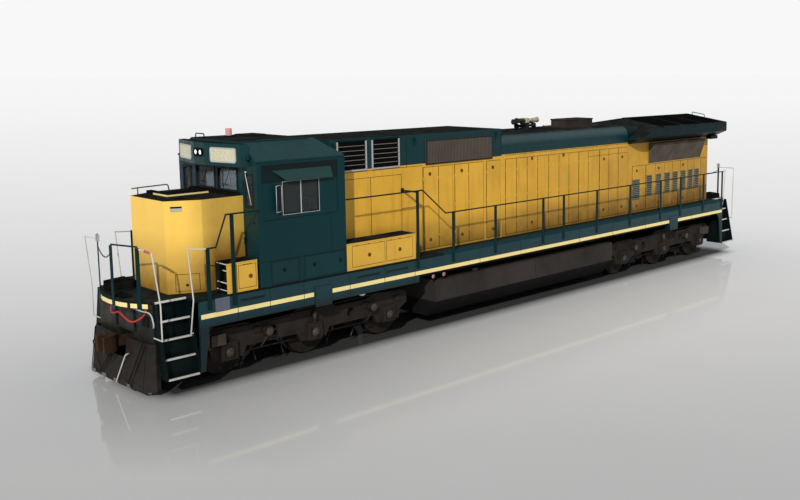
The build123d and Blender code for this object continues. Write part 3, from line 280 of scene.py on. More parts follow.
HOOD_STYLE = dict(grime=0.3, streak=0.4, dirt=YELLOW_DIRT_AND_SHADE, dust_top=2.6, dust=0.6, dust_reach=0.9)
hood_paint = top_darkened("hood_paint", YELLOW, 3.93, low_style=HOOD_STYLE, dark_from=(0.72, 0.97),
                          wear_and_shade=rear_wear, gloss=0.5)
equipment_paint = top_darkened("equipment_paint", YELLOW, 3.90, low_style=HOOD_STYLE)
radiator_paint = top_darkened("radiator_paint", YELLOW, 3.96, low_style=HOOD_STYLE, wear_and_shade=rear_wear)
door_paint = top_darkened("door_paint", YELLOW, low_style=HOOD_STYLE, dark_from=(1.5, 1.6), wear_and_shade=rear_wear)
box_paint = top_darkened("box_paint", srgb(212, 166, 62), stair_well_shade=True,
                         low_style=dict(grime=0.25, streak=0.25, dirt=YELLOW_DIRT_AND_SHADE, dust_top=2.1, dust=0.4))
nose_paint = top_darkened("nose_paint", srgb(243, 199, 92), dark_from=(0.5, 0.8), wear_and_shade=nose_shade_and_dark_foot,
                          low_style=dict(grime=0.12, streak=0.2, dirt=srgb(176, 126, 48), dust_top=2.4, dust=0.4))
roof_paint = top_darkened("roof_paint", srgb(12, 52, 54), black_above=4.684)
wing_paint = top_darkened("wing_paint", srgb(4, 26, 29), dark_from=(0.55, 0.97), sheen=0.1)


def make_deck_paint():
    """Dark anti-slip green; along the hoods the walkways' outer edge is painted brighter as lit, and the part beside
    the hoods is left dark as painted shade.
    """
    n = Nodes("deck_paint")
    base = weather(n, srgb(7, 22, 23), grime=0.4, streak=0, dirt=srgb(12, 12, 11), dust=0)
    # painted light and shade: a brighter outer strip along the hoods, with the inner walkway kept dark as shade
    outer = n.both(n.below(n.axis("X"), 3.1), n.span(n.math("ABSOLUTE", n.axis("Y")), 1.1, 1.28))
    outer = n.both(outer, n.span(n.noise(1.6, 5), 0.25, 0.6, 0.75, 1))
    return finish(n, n.mix(outer, base, srgb(9, 49, 57)), rough=0.7, bump=0.25, bump_scale=140, spec=0.1)


def make_sill_paint():
    """Green sill with the pale stripe along it, broken at the jack pads."""
    n = Nodes("sill_paint")
    base = weather(n, srgb(9, 50, 57), grime=0.25, streak=0.2, dirt=GREEN_DIRT, dust=0)
    base = n.mix(n.span(n.axis("Z"), 1.4, 1.2, 0, 0.75), base, srgb(7, 16, 17))
    length = n.math("ABSOLUTE", n.axis("X"))
    stripe = n.between(n.axis("Z"), 1.405, 1.495)
    stripe = n.both(stripe, n.math("SUBTRACT", 1, n.between(length, 6.37, 6.85)))
    stripe = n.both(stripe, n.below(length, 9.45))
    return finish(n, n.mix(stripe, base, weather(n, PALE, **PALE_STYLE)), rough=0.45, coat=0.15)


def make_edge_paint():
    """Platform edge: pale-yellow blocks with dark breaks."""
    n = Nodes("edge_paint")
    base = weather(n, srgb(12, 20, 20), grime=0.3, streak=0.2, dust=0.12)
    band = n.both(n.between(n.axis("Z"), 1.665, 1.752), n.step(n.math("ABSOLUTE", n.axis("X")), 10.23))
    across = n.math("ABSOLUTE", n.axis("Y"))
    for low, high in ((0.55, 0.63), (0.76, 0.8)):
        band = n.both(band, n.math("SUBTRACT", 1, n.between(across, low, high)))
    return finish(n, n.mix(band, base, weather(n, PALE, **PALE_STYLE)), rough=0.5)


def make_louvre_paint():
    """Pale frames round louvres whose inside is painted black as shade behind lighter slat edges, and a brown-grey air
    grille beside them.
    """
    n = Nodes("louvre_paint")
    depth = n.math("ABSOLUTE", n.axis("Y"))
    frame_grey = weather(n, srgb(168, 168, 170), grime=0.3, streak=0.3, dirt=srgb(90, 84, 78))
    frame_grey = n.mix(n.step(n.axis("Z"), 4.54), frame_grey, srgb(9, 34, 37))
    # painted shade: the louvres' inside is black, and only the slats' outer edges stay grey
    black = n.mix(n.noise(6, 4), srgb(2, 2, 2), srgb(6, 6, 6))
    inner = n.both(n.between(n.axis("Z"), 3.912, 4.538),
                   n.math("MAXIMUM", n.between(n.axis("X"), 4.032, 4.778), n.between(n.axis("X"), 4.992, 5.748)))
    edge_grey = n.mix(n.step(depth, 1.0135), black, srgb(112, 104, 102))
    colour = n.mix(inner, frame_grey, edge_grey)
    grille = n.mix(n.noise(3, 6), srgb(60, 56, 52), srgb(76, 70, 64))
    return finish(n, n.mix(n.below(n.axis("X"), 3.4), colour, grille), rough=0.7, bump=0.2, spec=0.06)


def make_cab_paint():
    """Green cab side with painted shade in the recess round the awning."""
    n = Nodes("cab_paint")
    base = weather(n, GREEN, **GREEN_STYLE)
    # painted shade: the recess round the awning is darkened as the awning's shadow
    recess = n.both(n.between(n.axis("Z"), 3.87, 4.229), n.between(n.axis("X"), 6.162, 8.018))
    recess = n.both(recess, n.below(n.math("ABSOLUTE", n.axis("Y")), 1.499))
    return finish(n, n.mix(recess, base, srgb(5, 27, 30)), rough=0.45, spec=0.16)


def make_awning_paint():
    """A lighter upper face over an underside painted dark as shade."""
    n = Nodes("awning_paint")
    upper_face = weather(n, srgb(34, 60, 58), grime=0.3, streak=0.25, dirt=srgb(20, 40, 40), dust=0)
    # painted shade: the underside is dark, while the upper face is lighter
    return finish(n, n.mix(n.span(n.facing(), 0.1, 0.3), srgb(6, 24, 26), upper_face), rough=0.5, spec=0.15)


cab_paint, awning_paint = make_cab_paint(), make_awning_paint()
sill_paint, edge_paint, louvre_paint = make_sill_paint(), make_edge_paint(), make_louvre_paint()


def rough_metal(name, colour, other, rough=0.7, metal=0.0, scale=2.2, bump=0.3, dust=0.35, spec=0.14):
    n = Nodes(name)
    base = n.mix(n.span(n.noise(scale, 8, 0.65), 0.3, 0.7), srgb(*colour), srgb(*other))
    spots = n.span(n.noise(38, 3), 0.55, 0.8, 0, 0.35)
    base = n.mix(spots, base, srgb(*[c * 0.55 for c in colour]))
    if dust:
        low = n.both(n.span(n.axis("Z"), 1.3, 0.1, 0, dust), n.span(n.noise(6, 6), 0.3, 0.7))
        base = n.mix(low, base, srgb(58, 52, 45))
    return finish(n, base, rough=rough, metal=metal, bump=bump, bump_scale=70, spec=spec)


# truck_metal and wheel_metal are kept darker than their grimy metal alone: part of that darkness is painted shade under
# the body
truck_metal = rough_metal("truck_metal", (20, 17, 15), (42, 36, 32))
sleeve_metal = rough_metal("sleeve_metal", (52, 46, 42), (78, 70, 64))
plough_paint = rough_metal("plough_paint", (17, 15, 14), (36, 33, 31), bump=0.2)
worn_steel = rough_metal("worn_steel", (92, 86, 80), (136, 128, 118), metal=0.3)
frame_dark = rough_metal("frame_dark", (7, 7, 7), (18, 17, 17), bump=0.15)
coupler_metal = rough_metal("coupler_metal", (34, 23, 15), (62, 44, 29), metal=0.2)
wheel_metal = rough_metal("wheel_metal", (24, 20, 17), (44, 37, 32), metal=0.3, rough=0.6)
walkway = rough_metal("walkway", (10, 11, 11), (28, 28, 27), bump=0.5, dust=0, spec=0.0)
screen_metal = rough_metal("screen_metal", (74, 68, 62), (100, 92, 83), bump=0.3, dust=0)
black_metal = rough_metal("black_metal", (7, 8, 8), (19, 19, 19), rough=0.6, dust=0, spec=0.0)
blue_louvre = rough_metal("blue_louvre", (82, 88, 84), (112, 114, 104), dust=0)
stack_metal = rough_metal("stack_metal", (36, 32, 31), (60, 53, 49), dust=0)
chain_metal = rough_metal("chain_metal", (30, 32, 32), (60, 62, 60), metal=0.6, rough=0.5, dust=0)
cab_inner = rough_metal("cab_inner", (72, 78, 74), (94, 98, 92), rough=0.7, dust=0)
panel_dark = rough_metal("panel_dark", (18, 20, 22), (34, 36, 38), rough=0.55, dust=0)
red_hose = rough_metal("red_hose", (138, 30, 34), (186, 72, 68), rough=0.5, scale=9, dust=0)
grip_red = rough_metal("grip_red", (170, 54, 70), (206, 106, 116), rough=0.5, scale=12, dust=0)


def make_tank_paint():
    """Dusty upper walls over a lower slope painted black as shade."""
    n = Nodes("tank_paint")
    upper = n.mix(n.span(n.noise(0.8, 7, 0.6), 0.3, 0.7), srgb(34, 31, 30), srgb(56, 51, 48))
    lower = n.mix(n.noise(1.5, 6), srgb(8, 8, 8), srgb(24, 22, 21))
    # painted shade: the downward lower slope is black
    return finish(n, n.mix(n.span(n.axis("Z"), 0.62, 0.66), lower, upper), rough=0.7, bump=0.15, spec=0.12)


def make_horn_metal():
    """Dark bells ahead of the bracket and bright ones behind it."""
    n = Nodes("horn_metal")
    dark = n.mix(n.noise(14, 4), srgb(9, 9, 9), srgb(36, 34, 32))
    bright = n.mix(n.span(n.noise(10, 5), 0.35, 0.65), srgb(196, 190, 172), srgb(134, 124, 102))
    share = n.both(n.below(n.axis("X"), -1.36), n.step(n.axis("Z"), 4.625))
    return finish(n, n.mix(share, dark, bright), rough=0.4, metal=0.2, spec=0.4)


tank_paint, horn_metal = make_tank_paint(), make_horn_metal()


def make_seat_leather():
    """Dark grained leather for the seat pads."""
    n = Nodes("seat_leather")
    base = n.mix(n.span(n.noise(5, 6), 0.3, 0.7), srgb(34, 36, 40), srgb(58, 60, 64))
    grain = n.add("ShaderNodeTexVoronoi")
    grain.inputs["Scale"].default_value = 260
    n.link(n.coord, grain.inputs["Vector"])
    finish(n, base, rough=0.55)
    n.link(n.bump(grain.outputs["Distance"], 0.35, 0.0008), n.shader.inputs["Normal"])
    return n.mat


def make_glass():
    n = Nodes("dark_glass")
    base = n.mix(n.noise(2, 3), srgb(148, 158, 162), srgb(176, 184, 188))
    finish(n, base, rough=0.06, spread=0.04, bump=0.015, spec=0.3)
    n.shader.inputs["Transmission Weight"].default_value = 0.94
    n.shader.inputs["IOR"].default_value = 1.15
    return n.mat


def glow(name, colour, other, strength, rough=0.2):
    n = Nodes(name)
    mat = finish(n, n.mix(n.span(n.noise(26, 4), 0.3, 0.7), colour, other), rough=rough, spread=0.05, bump=0.05)
    n.shader.inputs["Emission Color"].default_value = colour
    n.shader.inputs["Emission Strength"].default_value = strength
    return mat


seat_leather, glass = make_seat_leather(), make_glass()
lamp_lens = glow("lamp_lens", srgb(232, 236, 226), srgb(250, 250, 244), 0.6)
beacon_lens = glow("beacon_lens", srgb(214, 160, 158), srgb(196, 130, 128), 0.08, rough=0.35)
board_face = glow("board_face", srgb(206, 203, 176), srgb(182, 178, 148), 0.04, rough=0.35)
# painted light: the fuel cut-off buttons' red glows, though they are no lamps
red_button_glow = glow("red_button_glow", srgb(190, 52, 48), srgb(150, 36, 36), 0.2)

# Hoses at the front end
def hose(name, points, diameter, material, **facts):
    """A hose along the given points."""
    curve = bpy.data.curves.new(name, "CURVE")
    curve.dimensions = "3D"
    curve.bevel_depth = diameter / 2
    curve.bevel_resolution = 5
    curve.resolution_u = 12
    curve.use_fill_caps = True
    spline = curve.splines.new("NURBS")
    spline.points.add(len(points) - 1)
    for point, place in zip(spline.points, points):
        point.co = (*place, 1)
    spline.order_u = 3
    spline.use_endpoint_u = True
    curve.materials.append(material)
    piece = bpy.data.objects.new(name, curve)
    scene.collection.objects.link(piece)
    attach(piece, "carbody")
    bare = curve.copy()
    bare.bevel_depth = 0
    probe = bpy.data.objects.new(name + "_probe", bare)
    scene.collection.objects.link(probe)
    depsgraph = bpy.context.evaluated_depsgraph_get()
    line = bpy.data.meshes.new_from_object(probe.evaluated_get(depsgraph))
    bpy.data.objects.remove(probe)
    bpy.data.meshes.remove(line)


hose("jumper_hose", ((10.34, -0.3, 1.653), (10.36, -0.3, 1.54), (10.41, -0.2, 1.44), (10.44, 0.0, 1.46), (10.44, 0.2, 1.54),
                     (10.44, 0.42, 1.45), (10.42, 0.66, 1.38), (10.36, 0.86, 1.47), (10.27, 0.93, 1.56), (10.25, 0.93, 1.653)),
     0.036, red_hose, far_end="object", stiffness="medium", lay="hanging")

finishes = {
    "deck": make_deck_paint(), "side_sills": sill_paint, "centre_sill": frame_dark, "cross_bearers": frame_dark,
    "end_plates": edge_paint, "coupler_front": coupler_metal, "coupler_rear": coupler_metal,
    "snow_plough": plough_paint, "steps": step_paint, "fuel_tank": tank_paint, "nose": nose_paint,
    "cab_sides": cab_paint, "cab_ends": green_paint, "front_cab_door": green_paint,
    "rear_cab_door": green_paint, "cab_roof": roof_paint, "cab_glass": glass, "front_door_glass": glass,
    "rear_door_glass": glass, "window_fittings": awning_paint, "cab_floor": cab_inner, "cab_seats": panel_dark,
    "equipment_hood": equipment_paint, "engine_hood": hood_paint, "radiator_hood": radiator_paint,
    "radiator_wings": wing_paint, "radiator_screens": screen_metal, "hood_doors": door_paint,
    "louvres": louvre_paint, "engine_block": frame_dark, "walkway_boxes": box_paint,
    "handrails": post_paint, "handrail_posts": post_paint, "grab_rails": white_paint, "headlamps": lamp_lens,
    "number_boards": board_face, "beacon": beacon_lens, "exhaust_stack": stack_metal, "horn": horn_metal,
}
for name, node in nodes.items():
    material = finishes.get(name)
    if material is None:
        material = wheel_metal if name.startswith("wheelset") else truck_metal
    for slot in range(max(1, len(node.data.materials))):
        if len(node.data.materials):
            node.material_slots[slot].material = material
        else:
            node.data.materials.append(material)


# Pieces are gathered by finish and body
class Kit:
    """Small parts of one finish that ride on one body, gathered into one piece."""

    def __init__(self, name, material, slot, body="carbody", bevel=0.0):
        self.name, self.material, self.slot, self.body, self.bevel = name, material, slot, body, bevel
        self.mesh = bmesh.new()

    def loft(self, rings, caps=True, smooth=False):
        """A skin over rings of the same number of points."""
        made = [[self.mesh.verts.new(p) for p in ring] for ring in rings]
        count = len(made[0])
        for one, two in zip(made, made[1:]):
            for i in range(count):
                j = (i + 1) % count
                face = self.mesh.faces.new((one[i], one[j], two[j], two[i]))
                face.smooth = smooth
        if caps:
            self.mesh.faces.new(list(reversed(made[0])))
            self.mesh.faces.new(made[-1])

    def box(self, xs, ys, zs):
        (x0, x1), (y0, y1), (z0, z1) = sorted(xs), sorted(ys), sorted(zs)
        self.loft([[(x0, y0, z), (x1, y0, z), (x1, y1, z), (x0, y1, z)] for z in (z0, z1)])

    def prism(self, outline, shift):
        """A flat outline of points, pushed along a shift."""
        shift = Vector(shift)
        self.loft([outline, [Vector(p) + shift for p in outline]])

    def strip(self, start, end, across, thick):
        """A flat bar from one point to another; across is its width and thick its depth, as vectors."""
        a, b, w, t = Vector(start), Vector(end), Vector(across) / 2, Vector(thick)
        self.loft([[a - w, a + w, a + w + t, a - w + t], [b - w, b + w, b + w + t, b - w + t]])

    def tube(self, points, radius, sides=10, caps=True):
        """A round bar that follows points."""
        points = [Vector(p) for p in points]
        rings, axis_x = [], None
        for i, p in enumerate(points):
            before = (p - points[i - 1]).normalized() if i else None
            after = (points[i + 1] - p).normalized() if i + 1 < len(points) else None
            along = ((before or after) + (after or before)).normalized()
            if axis_x is None:
                axis_x = along.orthogonal().normalized()
            axis_x = (axis_x - along * axis_x.dot(along)).normalized()
            axis_y = along.cross(axis_x)
            size = radius[i] if isinstance(radius, (list, tuple)) else radius
            rings.append([p + (axis_x * math.cos(t) + axis_y * math.sin(t)) * size
                          for t in (2 * math.pi * k / sides for k in range(sides))])
        self.loft(rings, caps, smooth=True)

    def turned(self, start, along, profile, sides=20, caps=True):
        """A turned part: rows of distance along its axis and radius."""
        start, along = Vector(start), Vector(along).normalized()
        side = along.orthogonal().normalized()
        other = along.cross(side)
        self.loft([[start + along * d + (side * math.cos(t) + other * math.sin(t)) * r
                    for t in (2 * math.pi * k / sides for k in range(sides))] for d, r in profile], caps, smooth=True)

    def bolt(self, place, along, radius=0.014, height=0.01):
        self.turned(place, along, ((0, radius), (height, radius), (height * 1.3, radius * 0.6)), 6)

    def done(self):
        bmesh.ops.recalc_face_normals(self.mesh, faces=self.mesh.faces)
        data = bpy.data.meshes.new(self.name)
        self.mesh.to_mesh(data)
        self.mesh.free()
        piece = bpy.data.objects.new(self.name, data)
        scene.collection.objects.link(piece)
        data.materials.append(self.material)
        if self.bevel:
            edge = piece.modifiers.new("edges", "BEVEL")
            edge.width, edge.segments, edge.limit_method = self.bevel, 1, "ANGLE"
            edge.angle_limit = math.radians(50)
        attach(piece, self.body)
        return piece


def bend(points, radius, steps=5):
    """A rigid bar's line with its corners rounded."""
    points = [Vector(p) for p in points]
    out = [points[0]]
    for a, b, c in zip(points, points[1:], points[2:]):
        reach = min(radius, (b - a).length * 0.45, (c - b).length * 0.45)
        first, last = b + (a - b).normalized() * reach, b + (c - b).normalized() * reach
        for k in range(steps + 1):
            t = k / steps
            out.append(first * (1 - t) ** 2 + b * 2 * t * (1 - t) + last * t * t)
    return out + [points[-1]]


def outline(kit, xs, zs, y, side, width, depth):
    """A frame of four strips on a side wall, outside the given rectangle."""
    (x0, x1), (z0, z1) = sorted(xs), sorted(zs)
    ys = (y * side, (y + depth) * side)
    kit.box((x0 - width, x0), ys, (z0 - width, z1 + width))
    kit.box((x1, x1 + width), ys, (z0 - width, z1 + width))
    kit.box((x0, x1), ys, (z0 - width, z0))
    kit.box((x0, x1), ys, (z1, z1 + width))


def latch(kit, place, side):
    """A round pan with a handle across it."""
    x, y, z = place
    kit.turned((x, y * side, z), (0, side, 0), ((0, 0.046), (0.007, 0.042), (0.007, 0.03), (0.004, 0.026)), 14)
    kit.box((x - 0.008, x + 0.008), (y * side, (y + 0.016) * side), (z - 0.034, z + 0.034))


# Hood doors: seams round each, hinges on the posts between them, latches
HOOD_DOORS = (
    (2.79, 3.26), (2.31, 2.77), (1.77, 2.23), (1.25, 1.75), (0.63, 1.12), (0.02, 0.42), (-0.4, 0.0),
    (-0.82, -0.42), (-1.27, -0.84), (-1.7, -1.29), (-2.13, -1.72), (-2.56, -2.15), (-2.99, -2.59),
    (-3.49, -3.01), (-3.95, -3.53), (-4.41, -3.97), (-4.86, -4.43),
)
REAR_DOORS = (
    (-5.8, -5.13), (-6.33, -5.84), (-6.8, -6.35), (-7.25, -6.82), (-7.7, -7.27), (-8.13, -7.72),
    (-8.5, -8.15), (-8.89, -8.52), (-9.29, -8.91),
)
seams = Kit("hood_seams", seam_brown, "hood_doors")
hinges = Kit("hood_hinges", door_paint, "hood_doors")
latches = Kit("hood_latches", latch_brown, "hood_doors")
for side in SIDES:
    for low, high, rows in ((1.86, 3.8, HOOD_DOORS), (1.86, 3.2, REAR_DOORS)):
        for x0, x1 in rows:
            outline(seams, (x0, x1), (low, high), 0.9905, side, 0.0098, 0.007)
            for z in (low + 0.28, (low + high) / 2, high - 0.28):
                x = x1 + 0.006
                hinges.tube(((x, 1.003 * side, z - 0.04), (x, 1.003 * side, z + 0.04)), 0.0075, 8)
    outline(seams, (3.3, 5.76), (1.86, 3.85), 0.9905, side, 0.0098, 0.007)
    outline(seams, (3.96, 5.72), (1.95, 3.7), 1.0003, side, 0.009, 0.002)
    seams.box((4.855, 4.867), (1.0003 * side, 1.0025 * side), (1.95, 3.7))
    for x0, x1, z in ((-4.86, -3.01, 3.64), (3.3, 3.96, 2.9)):
        seams.box((x0, x1), (1.0003 * side, 1.0022 * side), (z, z + 0.009))
    for x0, x1 in HOOD_DOORS:
        seams.box((x0, x1), (0.9905 * side, 0.9965 * side), (3.905, 3.912))
    for x in (3.06, 2.0, 0.9, -0.6, -1.9, -3.72, -4.6):
        top = 3.64 if x > 0 else (3.76 if x > -3 else 3.53)
        latch(latches, (x, 1.0, top), side)
        latch(latches, (x, 1.0, 2.06), side)
    for x in (-5.35, -6.5, -7.86):
        latch(latches, (x, 1.0, 3.06), side)
        latch(latches, (x, 1.0, 2.0), side)
for kit in (seams, hinges, latches):
    kit.done()

# Small louvres in the radiator doors
small = Kit("door_louvres", blue_louvre, "louvres")
# painted shade: black sheets behind the slats stand for the dark inside of the louvres
louvre_shade_backs = Kit("door_louvre_shade_backs", black_metal, "louvres")
for side in SIDES:
    for x1, width, z0, z1 in (
        (-5.14, 0.35, 2.19, 2.79), (-5.86, 0.27, 2.25, 2.87), (-6.37, 0.26, 2.25, 2.87), (-6.84, 0.26, 2.25, 2.87),
        (-7.29, 0.26, 2.25, 2.87), (-7.74, 0.26, 2.25, 2.87), (-8.17, 0.24, 2.25, 2.87), (-8.54, 0.24, 2.25, 2.87),
    ):
        x0 = x1 - width
        louvre_shade_backs.box((x0, x1), (1.0003 * side, 1.003 * side), (z0, z1))
        outline(small, (x0 + 0.014, x1 - 0.014), (z0 + 0.014, z1 - 0.014), 1.0003, side, 0.014, 0.014)
        count = 11
        for k in range(count):
            z = z0 + 0.02 + (z1 - z0 - 0.05) * k / (count - 1)
            small.prism([(x0 + 0.012, 1.003 * side, z + 0.034), (x0 + 0.012, 1.003 * side, z + 0.038),
                         (x0 + 0.012, 1.016 * side, z + 0.008), (x0 + 0.012, 1.016 * side, z + 0.004)],
                        (width - 0.024, 0, 0))
small.done()
louvre_shade_backs.done()

# Equipment hood: grille ribs and frame, seams, lifting eyes
ribs = Kit("grille_ribs", screen_metal, "louvres")
rib_frame = Kit("grille_frames", seam_dark, "louvres")
eyes = Kit("lifting_eyes", green_paint, "equipment_hood", bevel=0.003)
for side in SIDES:
    for k in range(46):
        x = 0.95 + k * 0.0489
        ribs.box((x, x + 0.012), (1.015 * side, 1.021 * side), (3.885, 4.425))
    outline(rib_frame, (0.955, 3.155), (3.89, 4.42), 1.0153, side, 0.022, 0.008)
    rib_frame.box((3.772, 3.782), (0.9903 * side, 0.9935 * side), (1.9, 4.58))
    rib_frame.box((0.585, 0.595), (0.9903 * side, 0.9935 * side), (3.91, 4.58))
    for x in (3.5, 0.75, 5.85):
        eyes.prism([(x, 0.99 * side, 4.53), (x, 1.06 * side, 4.51), (x, 0.99 * side, 4.28)], (0.03, 0, 0))
ribs.done()
rib_frame.done()
eyes.done()

# Sill and lower cab: seams, recessed hand holds, panels, bolts, blank plate
body_seams = Kit("body_seams", seam_dark, "side_sills")
panels = Kit("lower_panels", green_paint, "cab_sides", bevel=0.003)
dark_latches = Kit("cab_latches", seam_dark, "cab_sides")
bolts = Kit("post_bolts", post_paint, "handrail_posts")
blank = Kit("blank_plates", plate_blank, "side_sills", bevel=0.004)
for side in SIDES:
    y = 1.5102
    for x in (8.652, 7.916, 7.094, 5.899, 4.93, 4.03):
        body_seams.box((x - 0.005, x + 0.005), (y * side, (y + 0.002) * side), (1.24, 1.748))
    for x in (1.9, 0.4, -2.0, -3.5, -5.1, -7.6):
        body_seams.box((x - 0.005, x + 0.005), (y * side, (y + 0.002) * side), (1.41, 1.748))
    for x0, x1 in ((8.03, 8.58), (5.07, 5.71), (4.24, 4.89)):
        body_seams.box((x0, x1), (y * side, (y + 0.003) * side), (1.62, 1.65))
        panels.box((x0, x1), (y * side, (y + 0.012) * side), (1.606, 1.617))
        for x in (x0, x1 - 0.02):
            panels.box((x, x + 0.02), (y * side, (y + 0.01) * side), (1.6, 1.66))
    body_seams.box((5.975, 8.11), (y * side, (y + 0.002) * side), (2.296, 2.306))
    body_seams.box((6.352, 6.36), (y * side, (y + 0.002) * side), (1.85, 3.1))
    panels.box((7.225, 7.83), (y * side, (y + 0.006) * side), (1.84, 2.265))
    outline(body_seams, (7.2, 7.855), (1.815, 2.285), y, side, 0.01, 0.002)
    panels.box((6.06, 7.02), (y * side, (y + 0.004) * side), (1.84, 2.265))
    outline(body_seams, (6.03, 7.05), (1.815, 2.285), y, side, 0.008, 0.002)
    for x in (7.557, 6.817, 6.143):
        latch(dark_latches, (x, 1.516, 2.086), side)
    for x in (3.93, 2.8, 1.35, -0.46, -1.3, -2.75, -4.31, -5.87, -6.95, -8.27, -9.4, 8.72, 9.26):
        for z in (1.6, 1.71):
            bolts.bolt((x, 1.5263 * side, z), (0, side, 0), 0.013, 0.009)
    blank.box((8.83, 9.14), (y * side, (y + 0.006) * side), (1.49, 1.76))
for kit in (body_seams, panels, dark_latches, bolts, blank):
    kit.done()

# Walkway boxes: doors, latches, hinges and the lines round them
box_doors = Kit("box_doors", box_paint, "walkway_boxes", bevel=0.002)
box_seams = Kit("box_seams", seam_brown, "walkway_boxes")
box_latches = Kit("box_latches", latch_brown, "walkway_boxes")
stair_edges = Kit("stair_edges", white_paint, "steps")
for side in SIDES:
    y = 1.5023
    for x0, x1 in ((4.91, 5.81), (4.09, 4.85), (8.22, 8.6)):
        box_doors.box((x0, x1), (y * side, (y + 0.005) * side), (1.87, 2.32))
        outline(box_seams, (x0, x1), (1.87, 2.32), y, side, 0.009, 0.002)
        for x in (x0 + 0.12, x1 - 0.12, (x0 + x1) / 2):
            box_seams.box((x - 0.025, x + 0.025), (y * side, (y + 0.008) * side), (2.322, 2.336))
    for x in (5.346, 4.47, 8.34):
        latch(box_latches, (x, y + 0.005, 2.085), side)
    box_seams.box((8.642, 8.65), (y * side, (y + 0.002) * side), (1.81, 2.36))
    for x, z in ((8.72, 2.2), (8.83, 2.0)):
        stair_edges.box((x - 0.01, x + 0.006), (1.1 * side, 1.46 * side), (z - 0.012, z + 0.006))
    for z in (1.86, 2.38):
        stair_edges.box((8.846, 8.856), (1.1 * side, 1.46 * side), (z - 0.012, z + 0.004))
for kit in (box_doors, box_seams, box_latches, stair_edges):
    kit.done()

# Cab windows: pale side frames, rubber seals, wipers
frames = Kit("window_frames", grey_frame, "window_fittings")
shade_lines = Kit("recess_shade_lines", seam_dark, "cab_sides")
seals = Kit("window_seals", rubber, "window_fittings")
door_seals = Kit("front_door_seal", rubber, "front_cab_door", "front_door")
door_wiper = Kit("front_door_wiper", white_paint, "front_cab_door", "front_door")
rear_seal = Kit("rear_door_seal", rubber, "rear_cab_door", "rear_door")
for side in SIDES:
    outline(frames, (6.64, 7.525), (3.205, 3.87), 1.4965, side, 0.008, 0.007)
    # painted shade: dark strips along the recess top as the awning's shadow and along its foot as a shade line
    shade_lines.box((6.17, 8.01), (1.4963 * side, 1.4985 * side), (4.13, 4.222))
    shade_lines.box((6.17, 8.01), (1.4963 * side, 1.498 * side), (3.122, 3.13))
    outline(seals, (6.655, 7.51), (3.22, 3.855), 1.484, side, -0.014, 0.01)
    frames.box((7.076, 7.1), (1.4964 * side, 1.5 * side), (3.206, 3.869))
    corners = [(7.552, 1.4985), (7.737, 1.589)]
    loop = [(corners[0][0], corners[0][1] * side, 3.28), (corners[1][0], corners[1][1] * side, 3.28),
            (corners[1][0], corners[1][1] * side, 3.81), (corners[0][0], corners[0][1] * side, 3.81)]
    for a, b in zip(loop, loop[1:] + loop[:1]):
        frames.tube((a, b), 0.0065, 6)
for y0, y1, z0, z1 in ((0.07, 0.79, 3.69, 4.12), (-0.79, -0.07, 3.69, 4.12), (-1.33, -1.03, 3.45, 4.06)):
    for ys, zs in (((y0 - 0.03, y0 + 0.012), (z0 - 0.03, z1 + 0.03)), ((y1 - 0.012, y1 + 0.03), (z0 - 0.03, z1 + 0.03)),
                   ((y0, y1), (z0 - 0.03, z0 + 0.012)), ((y0, y1), (z1 - 0.012, z1 + 0.03))):
        seals.box((8.1203, 8.132), ys, zs)
    middle = (y0 + y1) / 2
    seals.tube(((8.145, middle + 0.16, z1 + 0.02), (8.145, middle - 0.05, z0 + 0.1)), 0.006, 6)
    seals.box((8.133, 8.142), (middle - 0.18, middle + 0.07), (z0 + 0.09, z0 + 0.105))
for kit, x, y0, y1, out in ((door_seals, 8.1203, 1.086, 1.344, 1), (rear_seal, 5.9697, -1.354, -1.106, -1)):
    for ys, zs in (((y0 - 0.025, y0 + 0.008), (3.375, 4.065)), ((y1 - 0.008, y1 + 0.025), (3.375, 4.065)),
                   ((y0, y1), (3.375, 3.408)), ((y0, y1), (4.032, 4.065))):
        kit.box((x, x + 0.006 * out), ys, zs)
    kit.turned((x, y1 if y1 > 0 else y0, 3.1), (out, 0, 0), ((0, 0.03), (0.008, 0.028), (0.018, 0.014)))
door_wiper.tube(((8.142, 1.13, 4.06), (8.142, 1.31, 3.45)), 0.0075, 6)
door_wiper.turned((8.121, 1.13, 4.09), (1, 0, 0), ((0, 0.022), (0.02, 0.02), (0.026, 0.01)), 12)
seals.turned((8.1203, 1.275, 4.365), (1, 0, 0), ((0, 0.03), (0.02, 0.045), (0.06, 0.04), (0.065, 0.02)), 14)
for kit in (frames, shade_lines, seals, door_seals, door_wiper, rear_seal):
    kit.done()

# Brow: lamp rings, blank boards' rounded frames; rear lamps and boards
rings = Kit("lamp_rings", black_metal, "headlamps")
board_frames = Kit("board_frames", grey_frame, "number_boards")
for y in (0.087, -0.087):
    for x, sign, z in ((8.487, 1, 4.455), (-9.32, -1, 3.74)):
        rings.turned((x, y, z), (sign, 0, 0), ((0, 0.086), (0.034, 0.084), (0.036, 0.079), (0.034, 0.0765), (0, 0.0765)), 24,
                     caps=False)
        rings.turned((x, y, z), (sign, 0, 0), ((0.0252, 0.0765), (0.032, 0.074), (0.032, 0.05), (0.0252, 0.048)), 24,
                     caps=False)


